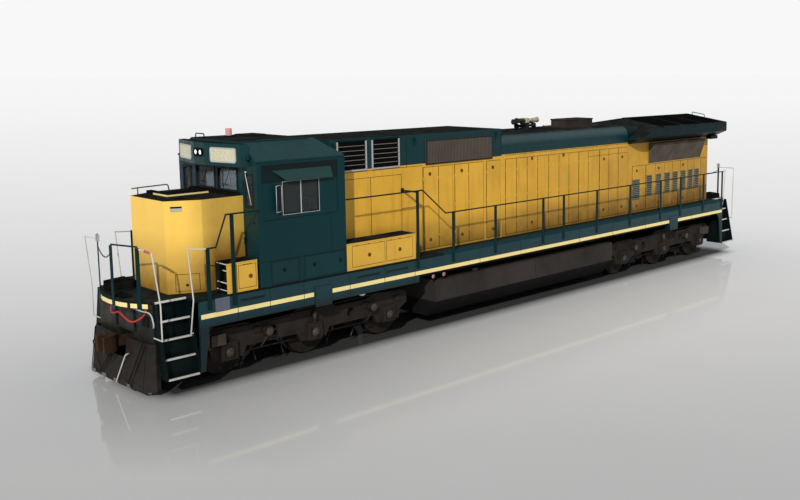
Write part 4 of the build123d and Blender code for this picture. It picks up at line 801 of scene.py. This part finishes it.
def rounded_frame(kit, start, end, out, z0, z1, width, depth, corner=0.05):
    """A rounded frame round an upright rectangle that faces out."""
    start, end, out = Vector(start), Vector(end), Vector(out)
    run = (end - start).normalized()
    length = (end - start).length
    outer, inner = [], []
    for cx, cz, turn in ((length - corner, z1 - corner, 0), (corner, z1 - corner, 1),
                         (corner, z0 + corner, 2), (length - corner, z0 + corner, 3)):
        for k in range(5):
            t = math.pi / 2 * (turn + k / 4)
            for ring, r in ((outer, corner), (inner, corner - width)):
                u, v = cx + math.cos(t) * r, cz + math.sin(t) * r
                ring.append(start + run * u + Vector((0, 0, v)))
    count = len(outer)
    for i in range(count):
        j = (i + 1) % count
        kit.loft([[outer[i], outer[j], outer[j] + out * depth, outer[i] + out * depth],
                  [inner[i], inner[j], inner[j] + out * depth, inner[i] + out * depth]])


for side in SIDES:
    rounded_frame(board_frames, (8.447, 0.37 * side, 0), (8.297, 1.085 * side, 0), (0.978, 0.21 * side, 0),
                  4.272, 4.573, 0.03, 0.018)
    rounded_frame(board_frames, (-9.32, 0.315 * side, 0), (-9.32, 0.895 * side, 0), (-1, 0, 0), 3.607, 3.873, 0.028, 0.018)
rings.done()
board_frames.done()

# Nose: vent, lower hatch, top gear
nose_black = Kit("nose_black", black_metal, "nose")
nose_grey = Kit("nose_grey", grey_frame, "nose")
nose_seams = Kit("nose_seams", seam_brown, "nose")
nose_top = Kit("nose_top_plate", walkway, "nose", bevel=0.004)
nose_rail = Kit("nose_rail", paint("olive_paint", srgb(122, 118, 84), grime=0.4, dirt=srgb(50, 48, 40)), "nose")
nose_trim = Kit("nose_trim", pale_paint, "nose")
face_run = Vector((-0.625, 0.31, 0)).normalized()
for side in SIDES:
    def on_cant(t, z, out=0.0):
        """A point on the canted face: t metres back from its front edge."""
        p = Vector((9.665, 0.67, z)) + face_run * t + Vector((0.31, 0.625, 0)).normalized() * out
        return Vector((p.x, p.y * side, p.z))

    out_shift = Vector((0.31, 0.625 * side, 0)).normalized()
    nose_black.prism([on_cant(0.12, 3.475, 0.001), on_cant(0.33, 3.475, 0.001), on_cant(0.33, 3.505, 0.001),
                      on_cant(0.12, 3.505, 0.001)], out_shift * 0.006)
    nose_grey.prism([on_cant(0.12, 3.415, 0.001), on_cant(0.33, 3.415, 0.001), on_cant(0.33, 3.47, 0.001),
                     on_cant(0.12, 3.47, 0.001)], out_shift * 0.01)
    t0, t1, z0, z1 = 0.15, 0.61, 1.84, 2.18
    for a, b, c, d in ((t0, t1, z0, z0 + 0.008), (t0, t1, z1 - 0.008, z1), (t0, t0 + 0.009, z0, z1), (t1 - 0.009, t1, z0, z1)):
        nose_seams.prism([on_cant(a, c, 0.001), on_cant(b, c, 0.001), on_cant(b, d, 0.001), on_cant(a, d, 0.001)],
                         out_shift * 0.003)
    hub = on_cant(0.37, 1.96, 0.001)
    nose_seams.turned(hub, out_shift, ((0, 0.03), (0.01, 0.026), (0.014, 0.012)), 12)
nose_top.box((8.36, 9.27), (-0.5, 0.1), (3.6153, 3.645))
nose_top.box((9.11, 9.23), (-0.86, -0.58), (3.6153, 3.67))
nose_top.prism([(8.13, -0.9, 3.6153), (8.13, 0.9, 3.6153), (8.3, 0.82, 3.6153), (8.3, -0.82, 3.6153)], (0, 0, 0.05))
nose_trim.box((8.38, 9.27), (0.1, 0.118), (3.62, 3.652))
nose_trim.box((9.27, 9.288), (-0.46, 0.118), (3.62, 3.652))
nose_black.box((9.15, 9.33), (0.43, 0.6), (3.6153, 3.624))
nose_rail.tube(bend([(9.63, -0.68, 3.75), (9.49, -0.7, 3.755), (8.77, -0.82, 3.755), (8.74, -0.83, 3.616)], 0.05), 0.014, 8)
nose_rail.tube(((9.49, -0.7, 3.755), (9.49, -0.7, 3.616)), 0.014, 8)
for kit in (nose_black, nose_grey, nose_seams, nose_top, nose_trim, nose_rail):
    kit.done()

# Roof gear: grab irons, hatch rim, cooling fans' grilles on the wings, stack rim, horn
irons = Kit("roof_irons", black_metal, "cab_roof")
for a, b, height in (((7.98, -1.0, 4.68), (7.98, -0.66, 4.68), 0.09), ((-9.5, 0.26, 4.525), (-9.5, 0.73, 4.455), 0.13)):
    a, b = Vector(a), Vector(b)
    rise = Vector((0, 0, height))
    irons.tube(bend([a, a + rise, b + rise, b], 0.04), 0.012, 8)
irons.turned((7.33, -0.76, 4.6803), (0, 0, 1), ((0, 0.095), (0.012, 0.09), (0.02, 0.075)), 24)
irons.box((6.83, 7.33), (-0.585, -0.565), (4.6803, 4.725))
irons.done()
roof_seams = Kit("roof_seams", green_paint, "cab_roof", bevel=0.003)
for side in SIDES:
    roof_seams.strip((6.0, 1.512 * side, 4.3), (8.14, 1.512 * side, 4.3), (0, 0, 0.03), (0, 0.01 * side, 0))
    roof_seams.strip((6.5, 0.985 * side, 4.68), (8.1, 0.985 * side, 4.68), (0, 0.02, 0), (0, 0, 0.012))
roof_seams.done()

wing_grilles = Kit("wing_grilles", black_metal, "radiator_screens")
wing_rims = Kit("wing_rims", wing_paint, "radiator_wings", bevel=0.004)
slope = (4.335 - 4.565) / 1.51
for side in SIDES:
    def on_wing(x, y, out=0.0):
        return Vector((x, y * side, 4.565 + slope * y + out))

    for x0, x1 in ((-7.12, -6.1), (-8.28, -7.2), (-9.5, -8.36)):
        wing_grilles.prism([on_wing(x0, 0.12, 0.001), on_wing(x1, 0.12, 0.001), on_wing(x1, 1.4, 0.001), on_wing(x0, 1.4, 0.001)],
                           (0, 0, 0.008))
        count = int((x1 - x0) / 0.05)
        for k in range(count):
            x = x0 + 0.02 + k * 0.05
            wing_grilles.prism([on_wing(x, 0.12, 0.009), on_wing(x + 0.012, 0.12, 0.009), on_wing(x + 0.012, 1.4, 0.009),
                                on_wing(x, 1.4, 0.009)], (0, 0, 0.02))
    wing_rims.prism([on_wing(-9.6, 1.43), on_wing(-6.0, 1.43), on_wing(-6.0, 1.51), on_wing(-9.6, 1.51)], (0, 0, 0.035))
    wing_rims.prism([on_wing(-9.6, 0.02), on_wing(-9.54, 0.02), on_wing(-9.54, 1.5), on_wing(-9.6, 1.5)], (0, 0, 0.035))
    wing_rims.prism([on_wing(-7.19, 0.05), on_wing(-7.13, 0.05), on_wing(-7.13, 1.46), on_wing(-7.19, 1.46)], (0, 0, 0.035))
    wing_rims.prism([on_wing(-8.35, 0.05), on_wing(-8.29, 0.05), on_wing(-8.29, 1.46), on_wing(-8.35, 1.46)], (0, 0, 0.035))
    wing_rims.box((-9.46, -9.06), (1.08 * side, 1.27 * side), (3.82, 3.93))
wing_rims.box((-9.6, -6.0), (-0.05, 0.05), (4.56, 4.592))
wing_grilles.done()
wing_rims.done()

screen_ribs = Kit("screen_ribs", screen_metal, "radiator_screens")
for side in SIDES:
    for k in range(58):
        x = -8.8 + k * 0.049
        screen_ribs.prism([(x, 0.996 * side, 3.252), (x, 1.2 * side, 3.845), (x, 1.209 * side, 3.842), (x, 1.005 * side, 3.249)],
                          (0.01, 0, 0))
    for x in (-8.83, -5.98):
        screen_ribs.prism([(x, 0.992 * side, 3.245), (x, 1.198 * side, 3.85), (x, 1.215 * side, 3.845), (x, 1.01 * side, 3.24)],
                          (0.03, 0, 0))
screen_ribs.done()

stack = Kit("stack_details", stack_metal, "exhaust_stack", bevel=0.003)
for x in (-4.075, -2.9):
    stack.box((x, x + 0.015), (-0.315, 0.315), (4.63, 4.668))
for y in (-0.315, 0.3):
    stack.box((-4.075, -2.885), (y, y + 0.015), (4.63, 4.668))
for k in range(14):
    stack.box((-4.0 + k * 0.078, -3.985 + k * 0.078), (-0.24, 0.24), (4.6, 4.612))
for x in (-4.18, -3.9, -3.48, -3.06, -2.68):
    for y in (-0.39, 0.39):
        stack.bolt((x, y, 4.475), (0, 0, 1), 0.018, 0.012)
stack.done()

horns = Kit("horn_bells", horn_metal, "horn")
horn_dark = Kit("horn_base", black_metal, "horn")
for reach, y, z in ((0.43, 0.07, 4.7), (-0.43, 0.07, 4.7), (0.38, -0.09, 4.66), (-0.38, -0.09, 4.66)):
    sign = 1 if reach > 0 else -1
    length = abs(reach)
    target = horn_dark if y < 0 else horns
    target.turned((-1.43, y, z), (sign, 0, 0), (
        (0.02, 0.024), (length * 0.45, 0.03), (length * 0.72, 0.044), (length * 0.9, 0.064),
        (length * 0.975, 0.0775), (length, 0.0785), (length * 0.985, 0.068), (length * 0.8, 0.03)), 24)
    target.turned((-1.43 - sign * 0.02, y, z), (sign, 0, 0), ((0, 0.035), (0.05, 0.037), (0.06, 0.025)), 16)
horn_dark.box((-1.5, -1.36), (-0.125, 0.125), (4.6003, 4.63))
horns.box((-1.49, -1.37), (-0.115, 0.115), (4.632, 4.758))
for reach, y, z, target in ((0.34, 0.03, 4.55, horn_dark), (-0.3, 0.03, 4.55, horns)):
    sign = 1 if reach > 0 else -1
    length = abs(reach)
    target.turned((-1.43 + sign * 0.05, y, z), (sign, 0, 0), (
        (0, 0.026), (length * 0.4, 0.03), (length * 0.7, 0.046), (length * 0.88, 0.068),
        (length * 0.97, 0.08), (length, 0.08), (length * 0.98, 0.07), (length * 0.8, 0.03)), 24)
horns.done()
horn_dark.done()

# Walkway ends: tread edges, chain, grips, brackets, platform box
edges = Kit("tread_edges", white_paint, "steps")
for end in (1, -1):
    for side in SIDES:
        xs = (9.532 * end, 10.168 * end)
        for y, z in ((1.12, 1.8), (1.23, 1.45), (1.29, 1.1), (1.385, 0.745), (1.51, 0.39)):
            edges.box(xs, ((y - 0.032) * side, (y + 0.002) * side), (z - 0.03, z + 0.004))
edges.done()

chains = Kit("end_chains", chain_metal, "handrail_posts")
post_plates = Kit("post_plates", grey_frame, "handrail_posts")
brackets = Kit("post_brackets", green_paint, "end_plates", bevel=0.003)
grips = Kit("rail_grips", grip_red, "grab_rails")
grip_white = Kit("rail_grip_ends", white_paint, "grab_rails")
for end in (1, -1):
    a, b = Vector((10.335 * end, -0.8 * end, 2.68)), Vector((10.535 * end, 0.13 * end, 2.64))
    count = 34
    for k in range(count):
        t = (k + 0.5) / count
        p = a.lerp(b, t) - Vector((0, 0, 0.5 * t * (1 - t)))
        nxt = a.lerp(b, t + 0.01) - Vector((0, 0, 0.5 * (t + 0.01) * (1 - t - 0.01)))
        along = (nxt - p).normalized()
        side_way = along.orthogonal().normalized() if k % 2 else along.cross(along.orthogonal()).normalized()
        ring = [p + along * math.cos(u) * 0.022 + side_way * math.sin(u) * 0.011
                for u in (2 * math.pi * j / 8 for j in range(9))]
        chains.tube(ring, 0.0035, 5, caps=False)
    post_plates.box((10.3 * end, 10.34 * end), (-0.87 * end, -0.77 * end), (2.76, 2.895))
    for x, y in ((10.318, 0.815), (10.518, 0.165), (10.318, -0.815)):
        brackets.box(((x - 0.06) * end, (x + 0.012) * end), ((y - 0.07) * end, (y + 0.07) * end), (1.6, 1.665))
line = [Vector((x, y, 2.79)) for x, y in ((10.318, 1.33), (10.305, 1.2), (10.293, 1.08))]
grips.tube(line, 0.024, 12)
grip_white.tube((line[2], line[2] + (line[2] - line[1]) * 0.6), 0.024, 12)
for kit in (chains, post_plates, brackets, grips, grip_white):
    kit.done()

deck_gear = Kit("deck_gear", walkway, "deck", bevel=0.006)
for end in (1, -1):
    deck_gear.prism([(9.7 * end, -1.1 * end, 1.8003), (10.18 * end, -0.98 * end, 1.8003), (10.3 * end, -0.72 * end, 1.8003),
                     (10.36 * end, -0.5 * end, 1.8003), (9.7 * end, -0.42 * end, 1.8003)], (0, 0, 0.12))
for end in (1, -1):
    deck_gear.box((10.2 * end, 10.42 * end), (-0.32, 0.32), (1.8003, 1.83))
deck_gear.done()
stays = Kit("post_stays", post_paint, "handrails", bevel=0.002)
for side in SIDES:
    stays.strip((3.93, 0.992 * side, 3.315), (3.93, 1.508 * side, 3.315), (0.06, 0, 0), (0, 0, 0.03))
    stays.box((3.88, 3.98), (0.9905 * side, 1.0 * side), (3.27, 3.38))
stays.done()

# Front end: levers, plough irons and braces
levers = Kit("uncoupling_levers", grey_frame, "end_plates")
plough_irons = Kit("plough_irons", white_paint, "snow_plough")
braces = Kit("plough_braces", worn_steel, "snow_plough", bevel=0.003)
plough_dark = Kit("plough_plates", plough_paint, "snow_plough", bevel=0.004)
for end in (1, -1):
    levers.tube(bend([(10.3 * end, 0.3 * end, 1.62), (10.33 * end, 0.9 * end, 1.63), (10.35 * end, 1.22 * end, 1.66),
                      (10.36 * end, 1.36 * end, 1.62), (10.36 * end, 1.42 * end, 1.46), (10.36 * end, 1.4 * end, 1.4)], 0.08), 0.014, 8)
    levers.tube(((10.24 * end, 0.6 * end, 1.62), (10.32 * end, 0.6 * end, 1.625)), 0.012, 8)
plough_irons.tube(bend([(10.43, 0.5, 0.76), (10.5, 0.5, 0.745), (10.53, 0.1, 0.13), (10.46, 0.08, 0.1)], 0.05), 0.014, 8)
plough_dark.tube(bend([(10.43, -0.95, 0.76), (10.48, -0.95, 0.745), (10.5, -0.6, 0.13), (10.46, -0.58, 0.1)], 0.05), 0.012, 8)
for y0, y1, z0, z1 in ((1.05, 0.64, 1.02, 0.14), (0.93, 0.52, 1.02, 0.14), (-0.27, -0.63, 0.62, 0.2), (-0.17, -0.53, 0.62, 0.2)):
    plough_dark.strip((10.355 if y0 > 0.5 else 10.44, y0, z0), (10.515, y1, z1), (0, 0.022, 0), (0.02, 0, 0))
for y in (0.58, -0.45, 0.06, -0.9):
    x = 10.505
    braces.box((x, x + 0.02), (y - 0.08, y + 0.08), (0.12, 0.19))
for y in (-1.07, 1.07):
    plough_dark.strip((10.355, y, 1.0), (10.478, y, 0.13), (0, 0.02, 0), (0.014, 0, 0))
for k in range(9):
    y = -0.98 + k * 0.245
    plough_dark.bolt((10.478, y, 0.24), (1, 0, 0), 0.016, 0.012)
for kit in (levers, plough_irons, braces, plough_dark):
    kit.done()

bulkheads = Kit("draft_bulkheads", frame_dark, "centre_sill")
for end in (1, -1):
    bulkheads.box((9.695 * end, 9.71 * end), (-0.31, 0.31), (0.42, 0.69))
    for side in SIDES:
        bulkheads.box((9.695 * end, 9.71 * end), (0.31 * side, 0.98 * side), (0.42, 1.16))
        bulkheads.box((9.71 * end, 10.19 * end), (0.985 * side, 0.998 * side), (0.412, 1.16))
        if end > 0:
            # dark plates at the front only, standing for shade in the gaps between plough and steps
            bulkheads.box((10.172, 10.242), (1.193 * side, 1.205 * side), (0.13, 1.0))
    # the shelf's longer reach at the front is a dark sheet standing for shade below the coupler
    bulkheads.box((9.71 * end, (10.36 if end > 0 else 10.19) * end), (-1.02, 1.02), (0.4, 0.412))
bulkheads.done()
for end, body in ((1, "coupler_front"), (-1, "coupler_rear")):
    kit = Kit("coupler_gear_" + body[8:], coupler_metal, body, body, bevel=0.006)
    kit.box((10.56 * end, 10.66 * end), (0.1 * end, 0.205 * end), (1.0652, 1.1))
    kit.turned((10.64 * end, 0.0, 1.0652), (0, 0, 1), ((0, 0.05), (0.03, 0.046), (0.04, 0.02)), 14)
    kit.tube(((10.6 * end, -0.1 * end, 0.745), (10.6 * end, -0.1 * end, 0.68)), 0.03, 10)
    kit.box((10.45 * end, 10.55 * end), (-0.1, 0.1), (1.0652, 1.085))
    kit.done()

# Tank: seams, straps, filler, cut-off boxes; pipes under the sill
tank_gear = Kit("tank_seams", tank_paint, "fuel_tank", bevel=0.002)
cutoff_plate = Kit("cutoff_plates", black_metal, "side_sills", bevel=0.002)
cutoff_ring = Kit("cutoff_rings", grey_frame, "side_sills")
# the buttons' red glows as painted light
cutoff_red = Kit("cutoff_buttons", red_button_glow, "side_sills")
sill_pipes = Kit("sill_pipes", truck_metal, "centre_sill")
for side in SIDES:
    for k in range(7):
        x = 3.2 - k * 1.12
        tank_gear.strip((x, 1.4002 * side, 0.645), (x, 1.4002 * side, 1.155), (0.04, 0, 0), (0, 0.006 * side, 0))
        tank_gear.strip((x, 1.4 * side, 0.64), (x, 1.083 * side, 0.254), (0.04, 0, 0), (0, 0.005 * side, -0.004))
    tank_gear.strip((3.295, 1.4 * side, 0.66), (-3.615, 1.4 * side, 0.66), (0, 0, 0.03), (0, 0.008 * side, 0))
    tank_gear.strip((3.295, 1.4 * side, 1.145), (-3.615, 1.4 * side, 1.145), (0, 0, 0.026), (0, 0.008 * side, 0))
    tank_gear.turned((1.9, 1.33 * side, 1.16), (0, 0, 1), ((0, 0.07), (0.05, 0.07), (0.05, 0.085), (0.08, 0.08)), 18)
    tank_gear.box((-0.4, -0.3), (1.4 * side, 1.42 * side), (0.72, 1.1))
    for x in (3.434, 3.09):
        cutoff_plate.box((x - 0.055, x + 0.055), (1.465 * side, 1.478 * side), (1.235, 1.399))
        cutoff_ring.turned((x, 1.4782 * side, 1.29), (0, side, 0), ((0, 0.045), (0.006, 0.043), (0.008, 0.036)), 20)
        cutoff_red.turned((x, 1.4782 * side, 1.29), (0, side, 0), ((0, 0.034), (0.014, 0.03), (0.02, 0.018)), 16)
    for y, z, r in ((1.41, 1.37, 0.022), (1.35, 1.34, 0.03)):
        sill_pipes.tube(((3.8, y * side, z), (-9.0, y * side, z)), r, 8)
for kit in (tank_gear, cutoff_plate, cutoff_ring, cutoff_red, sill_pipes):
    kit.done()

# Bogies: axle cover rings and bolts, brake gear, sand pipes, damper sleeves
for end, name in ((1, "front"), (-1, "rear")):
    body = "bogie_" + name
    gear = Kit("bogie_gear_" + name, truck_metal, "bogie_frame_" + name, body, bevel=0.004)
    light = Kit("bogie_light_" + name, sleeve_metal, "axle_boxes_" + name, body)
    cx = 6.6 * end
    for side in SIDES:
        for offset in (2.07, 0, -2.07):
            x = cx + offset
            light.turned((x, 1.2052 * side, 0.536), (0, side, 0),
                         ((0, 0.1), (0.008, 0.098), (0.008, 0.06), (0.022, 0.055), (0.022, 0.02)), 20)
            for k in range(6):
                t = math.pi / 3 * k
                gear.bolt((x + math.cos(t) * 0.08, 1.2135 * side, 0.536 + math.sin(t) * 0.08), (0, side, 0), 0.011, 0.01)
            for dx in (-0.145, 0.145):
                gear.box((x + dx - 0.028, x + dx + 0.028), (1.1752 * side, 1.195 * side), (0.4, 0.7))
                rings_at = [(x + dx * 1.9 + math.cos(t) * 0.055, 1.05 * side + math.sin(t) * 0.055 * side,
                             0.745 + 0.24 * t / (2 * math.pi * 5)) for t in (2 * math.pi * j / 12 for j in range(61))]
            gear.strip((x - 0.2, 1.1102 * side, 0.735), (x + 0.2, 1.1102 * side, 0.735), (0, 0, 0.03), (0, 0.05 * side, 0))
        light.tube(((cx, 1.165 * side, 0.84), (cx, 1.165 * side, 1.0)), 0.044, 12)
        for x in (cx + 2.36, cx + 1.4, cx - 1.4, cx - 2.36):
            gear.strip((x - 0.09, 1.1102 * side, 0.86), (x + 0.09, 1.1102 * side, 0.86), (0, 0, 0.13), (0, 0.03 * side, 0))
            for dx in (-0.06, 0.06):
                gear.bolt((x + dx, 1.141 * side, 0.89), (0, side, 0), 0.014, 0.012)
                gear.bolt((x + dx, 1.141 * side, 0.83), (0, side, 0), 0.014, 0.012)
        light.box((cx + 2.18 * end, cx + 2.5 * end), (1.1103 * side, 1.235 * side), (0.73, 0.95))
        for x in (cx - 1.56 * end, cx + 1.18 * end):
            light.turned((x, 1.2502 * side, 0.8), (0, side, 0), ((0, 0.085), (0.01, 0.08), (0.014, 0.05)), 16)
            gear.tube(((x, 1.18 * side, 0.72), (x + 0.12, 1.16 * side, 0.55), (x + 0.14, 1.08 * side, 0.46)), 0.02, 8)
        for x, lean in ((cx + 1.38, -0.12), (cx - 0.7, 0.12), (cx + 0.7, -0.12), (cx - 1.38, 0.12), (cx + 2.74, -0.06)):
            gear.tube(bend([(x, 0.8 * side, 0.95), (x, 0.84 * side, 0.5), (x + lean, 0.78 * side, 0.16)], 0.15), 0.018, 8)
            light.tube(((x + lean * 0.9, 0.785 * side, 0.2), (x + lean * 1.15, 0.775 * side, 0.11)), (0.02, 0.013), 8)
        for y in (0.93,):
            gear.tube(((cx - 1.9, y * side, 0.42), (cx + 1.9, y * side, 0.42)), 0.022, 8)
        gear.tube(((cx - 2.5, 1.13 * side, 1.02), (cx - 1.7, 1.13 * side, 1.08), (cx + 1.7, 1.13 * side, 1.0),
                   (cx + 2.5, 1.13 * side, 1.02)), 0.016, 8)
    gear.done()
    light.done()

# Rear end: hood door, grab irons, pilot details
rear = Kit("rear_hood_seams", seam_brown, "radiator_hood")
for ys in ((-0.28, -0.27), (0.27, 0.28)):
    rear.box((-9.3235, -9.3203), ys, (1.86, 3.5))
rear.box((-9.3235, -9.3203), (-0.28, 0.28), (3.49, 3.5))
for z in (2.2, 2.9):
    rear.turned((-9.3203, 0.2, z), (-1, 0, 0), ((0, 0.04), (0.01, 0.036), (0.012, 0.014)), 14)
rear.done()
rear_irons = Kit("rear_irons", post_paint, "radiator_hood")
for z in (2.1, 2.45, 2.8, 3.15):
    rear_irons.tube(bend([(-9.3203, 0.5, z), (-9.39, 0.5, z), (-9.39, 0.86, z), (-9.3203, 0.86, z)], 0.03), 0.011, 8)
rear_irons.done()
tail_plates = Kit("pilot_gear", frame_dark, "end_plates", bevel=0.005)
for end in (1, -1):
    tail_plates.box((10.2203 * end, 10.236 * end), (0.34, 0.42), (1.12, 1.6))
    tail_plates.box((10.2203 * end, 10.236 * end), (-0.42, -0.34), (1.12, 1.6))
    tail_plates.box((10.2203 * end, 10.24 * end), (0.7 * end, 0.95 * end), (1.3, 1.5))
tail_plates.done()

# Cab inside: seat pads, desk screens and levers
def pad(name, centre, size, crown, tilt=False):
    """A crowned cushion whose sides pull in between its corners."""
    mesh = bmesh.new()
    steps = 14
    cx, cy, cz = centre
    sx, sy, sz = size
    grid = {}
    for face in (1, -1):
        for i in range(steps + 1):
            for j in range(steps + 1):
                u, v = i / steps * 2 - 1, j / steps * 2 - 1
                edge = max(abs(u), abs(v)) == 1
                if edge and face == -1:
                    grid[face, i, j] = grid[1, i, j]
                    continue
                pull_u, pull_v = 1 - 0.05 * (1 - v * v), 1 - 0.05 * (1 - u * u)
                rise = ((1 - u ** 4) * (1 - v ** 4)) ** 0.5
                welt = 0.14 * math.exp(-((abs(u) - 0.62) / 0.06) ** 2) + 0.1 * math.exp(-(v / 0.05) ** 2)
                height = sz * (0.5 * rise + (crown * rise * (1 - 0.5 * (u * u + v * v)) if face == 1 else 0) - welt * rise * 0.4 * (face == 1))
                p = (sx / 2 * u * pull_u, sy / 2 * v * pull_v, height * face)
                if tilt:
                    p = (p[2], p[1], -p[0])
                grid[face, i, j] = mesh.verts.new((cx + p[0], cy + p[1], cz + p[2]))
    for face in (1, -1):
        for i in range(steps):
            for j in range(steps):
                quad = [grid[face, i, j], grid[face, i + 1, j], grid[face, i + 1, j + 1], grid[face, i, j + 1]]
                mesh.faces.new(quad if face == 1 else quad[::-1]).smooth = True
    bmesh.ops.recalc_face_normals(mesh, faces=mesh.faces)
    data = bpy.data.meshes.new(name)
    mesh.to_mesh(data)
    mesh.free()
    piece = bpy.data.objects.new(name, data)
    scene.collection.objects.link(piece)
    data.materials.append(seat_leather)
    soft = piece.modifiers.new("soft", "SUBSURF")
    soft.levels = soft.render_levels = 1
    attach(piece, "carbody")


seat_stands = Kit("seat_stands", panel_dark, "cab_seats", bevel=0.006)
for side, tag in ((1, "left"), (-1, "right")):
    y = 1.08 * side
    seat_stands.turned((6.9, y, 2.3003), (0, 0, 1), ((0, 0.17), (0.02, 0.17), (0.035, 0.1), (0.06, 0.07), (0.3, 0.07),
                                                     (0.3, 0.055), (0.45, 0.055)), 24)
    seat_stands.box((6.67, 7.13), (y - 0.22, y + 0.22), (2.745, 2.772))
    seat_stands.box((6.652, 6.666), (y - 0.22, y + 0.22), (2.76, 3.44))
    pad("seat_cushion_" + tag, (6.955, y, 2.816), (0.39, 0.49, 0.084), 0.25)
    pad("seat_back_" + tag, (6.705, y, 3.19), (0.57, 0.48, 0.075), 0.25, tilt=True)
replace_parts(seat_stands.done(), "cab_seats")
desk = Kit("desk_gear", panel_dark, "cab_floor", bevel=0.004)
for x, z in ((7.33, 3.14), (7.33, 3.02)):
    desk.box((x - 0.02, x + 0.02), (0.5, 0.88), (z, z + 0.03))
for y in (0.55, 0.66, 0.77):
    desk.tube(((7.42, y, 3.25), (7.36, y, 3.37)), 0.012, 8)
    desk.turned((7.355, y, 3.37), (-0.4, 0, 1), ((0, 0.02), (0.03, 0.024), (0.05, 0.012)), 12)
desk.box((7.45, 7.55), (0.5, 0.88), (3.2503, 3.34))
desk.box((7.56, 7.98), (-0.5, 0.45), (2.3003, 2.95))
desk.done()


# Floor and light
floor_mesh = bpy.data.meshes.new("floor")
floor_mesh.from_pydata([(-900, -900, 0), (900, -900, 0), (900, 900, 0), (-900, 900, 0)], [], [(0, 1, 2, 3)])
floor = bpy.data.objects.new("floor", floor_mesh)
scene.collection.objects.link(floor)
n = Nodes("floor_finish")
# painted light: the floor's colour darkens towards the camera along its line of view, as a light falloff
ahead = n.math("ADD", n.both(n.axis("X"), 0.7215), n.both(n.axis("Y"), 0.6924))
nearness = n.math("DIVIDE", 12.5, n.math("MAXIMUM", n.math("SUBTRACT", 25.8, ahead), 11.0))
ramp = n.add("ShaderNodeValToRGB")
stops = ((0.0, 0.995), (0.06, 0.985), (0.148, 0.925), (0.2325, 0.865), (0.34, 0.79), (0.494, 0.683),
         (0.674, 0.585), (0.811, 0.532), (0.94, 0.507))
while len(ramp.color_ramp.elements) < len(stops):
    ramp.color_ramp.elements.new(0.5)
for element, (place, level) in zip(ramp.color_ramp.elements, stops):
    element.position, element.color = place, (level, level, level, 1)
n.link(nearness, ramp.inputs[0])
beside = n.math("MAXIMUM", n.math("SUBTRACT", n.math("ABSOLUTE", n.axis("Y")), 1.5), 0)
before = n.math("MAXIMUM", n.math("SUBTRACT", n.math("ABSOLUTE", n.axis("X")), 10.5), 0)
polish = n.span(n.math("ADD", beside, before), 0.0, 4.6, 0.42, 0.0)
# painted shadow: the floor is darkened under the locomotive's footprint
under = n.both(n.span(n.math("ABSOLUTE", n.axis("Y")), 1.2, 1.75, 0.93, 0),
               n.span(n.math("ABSOLUTE", n.axis("X")), 9.9, 10.45, 1, 0))
polish = n.both(polish, n.math("SUBTRACT", 1, under))
base_level = n.math("SUBTRACT", ramp.outputs[0], n.both(polish, 0.5))
base_level = n.math("DIVIDE", base_level, n.math("SUBTRACT", 1, polish))
base_level = n.both(base_level, n.span(n.noise(0.4, 3), 0.3, 0.7, 0.985, 1.0))
base_level = n.both(base_level, n.math("SUBTRACT", 1, under))
n.link(base_level, n.shader.inputs["Base Color"])
n.link(n.span(n.noise(0.7, 3), 0.3, 0.7, 0.5, 0.56), n.shader.inputs["Roughness"])
n.shader.inputs["Specular IOR Level"].default_value = 0.0
mirror = n.add("ShaderNodeBsdfGlossy")
n.link(n.span(n.noise(1.1, 3), 0.3, 0.7, 0.05, 0.07), mirror.inputs["Roughness"])
share = n.add("ShaderNodeMixShader")
n.link(polish, share.inputs[0])
n.link(n.shader.outputs[0], share.inputs[1])
n.link(mirror.outputs[0], share.inputs[2])
n.link(share.outputs[0], n.tree.nodes["Material Output"].inputs["Surface"])
floor.data.materials.append(n.mat)

world = bpy.data.worlds.new("studio")
scene.world = world
world.use_nodes = True
tree = world.node_tree
background = tree.nodes["Background"]
background.inputs["Color"].default_value = (0.92, 0.95, 1, 1)
background.inputs["Strength"].default_value = 0.5
plain = tree.nodes.new("ShaderNodeBackground")
plain.inputs["Color"].default_value = srgb(248, 248, 248)
plain.inputs["Strength"].default_value = 1.0
ray = tree.nodes.new("ShaderNodeLightPath")
blend = tree.nodes.new("ShaderNodeMixShader")
tree.links.new(ray.outputs["Is Camera Ray"], blend.inputs["Fac"])
tree.links.new(background.outputs[0], blend.inputs[1])
tree.links.new(plain.outputs[0], blend.inputs[2])
tree.links.new(blend.outputs[0], tree.nodes["World Output"].inputs["Surface"])

sun_data = bpy.data.lights.new("key", "SUN")
sun_data.energy = 3.0
sun_data.angle = math.radians(1.5)
sun_data.color = (1.0, 0.97, 0.92)
sun = bpy.data.objects.new("key", sun_data)
sun.rotation_mode = "QUATERNION"
sun.rotation_quaternion = Vector((-0.68, -0.54, -0.50)).to_track_quat("-Z", "Y")
scene.collection.objects.link(sun)
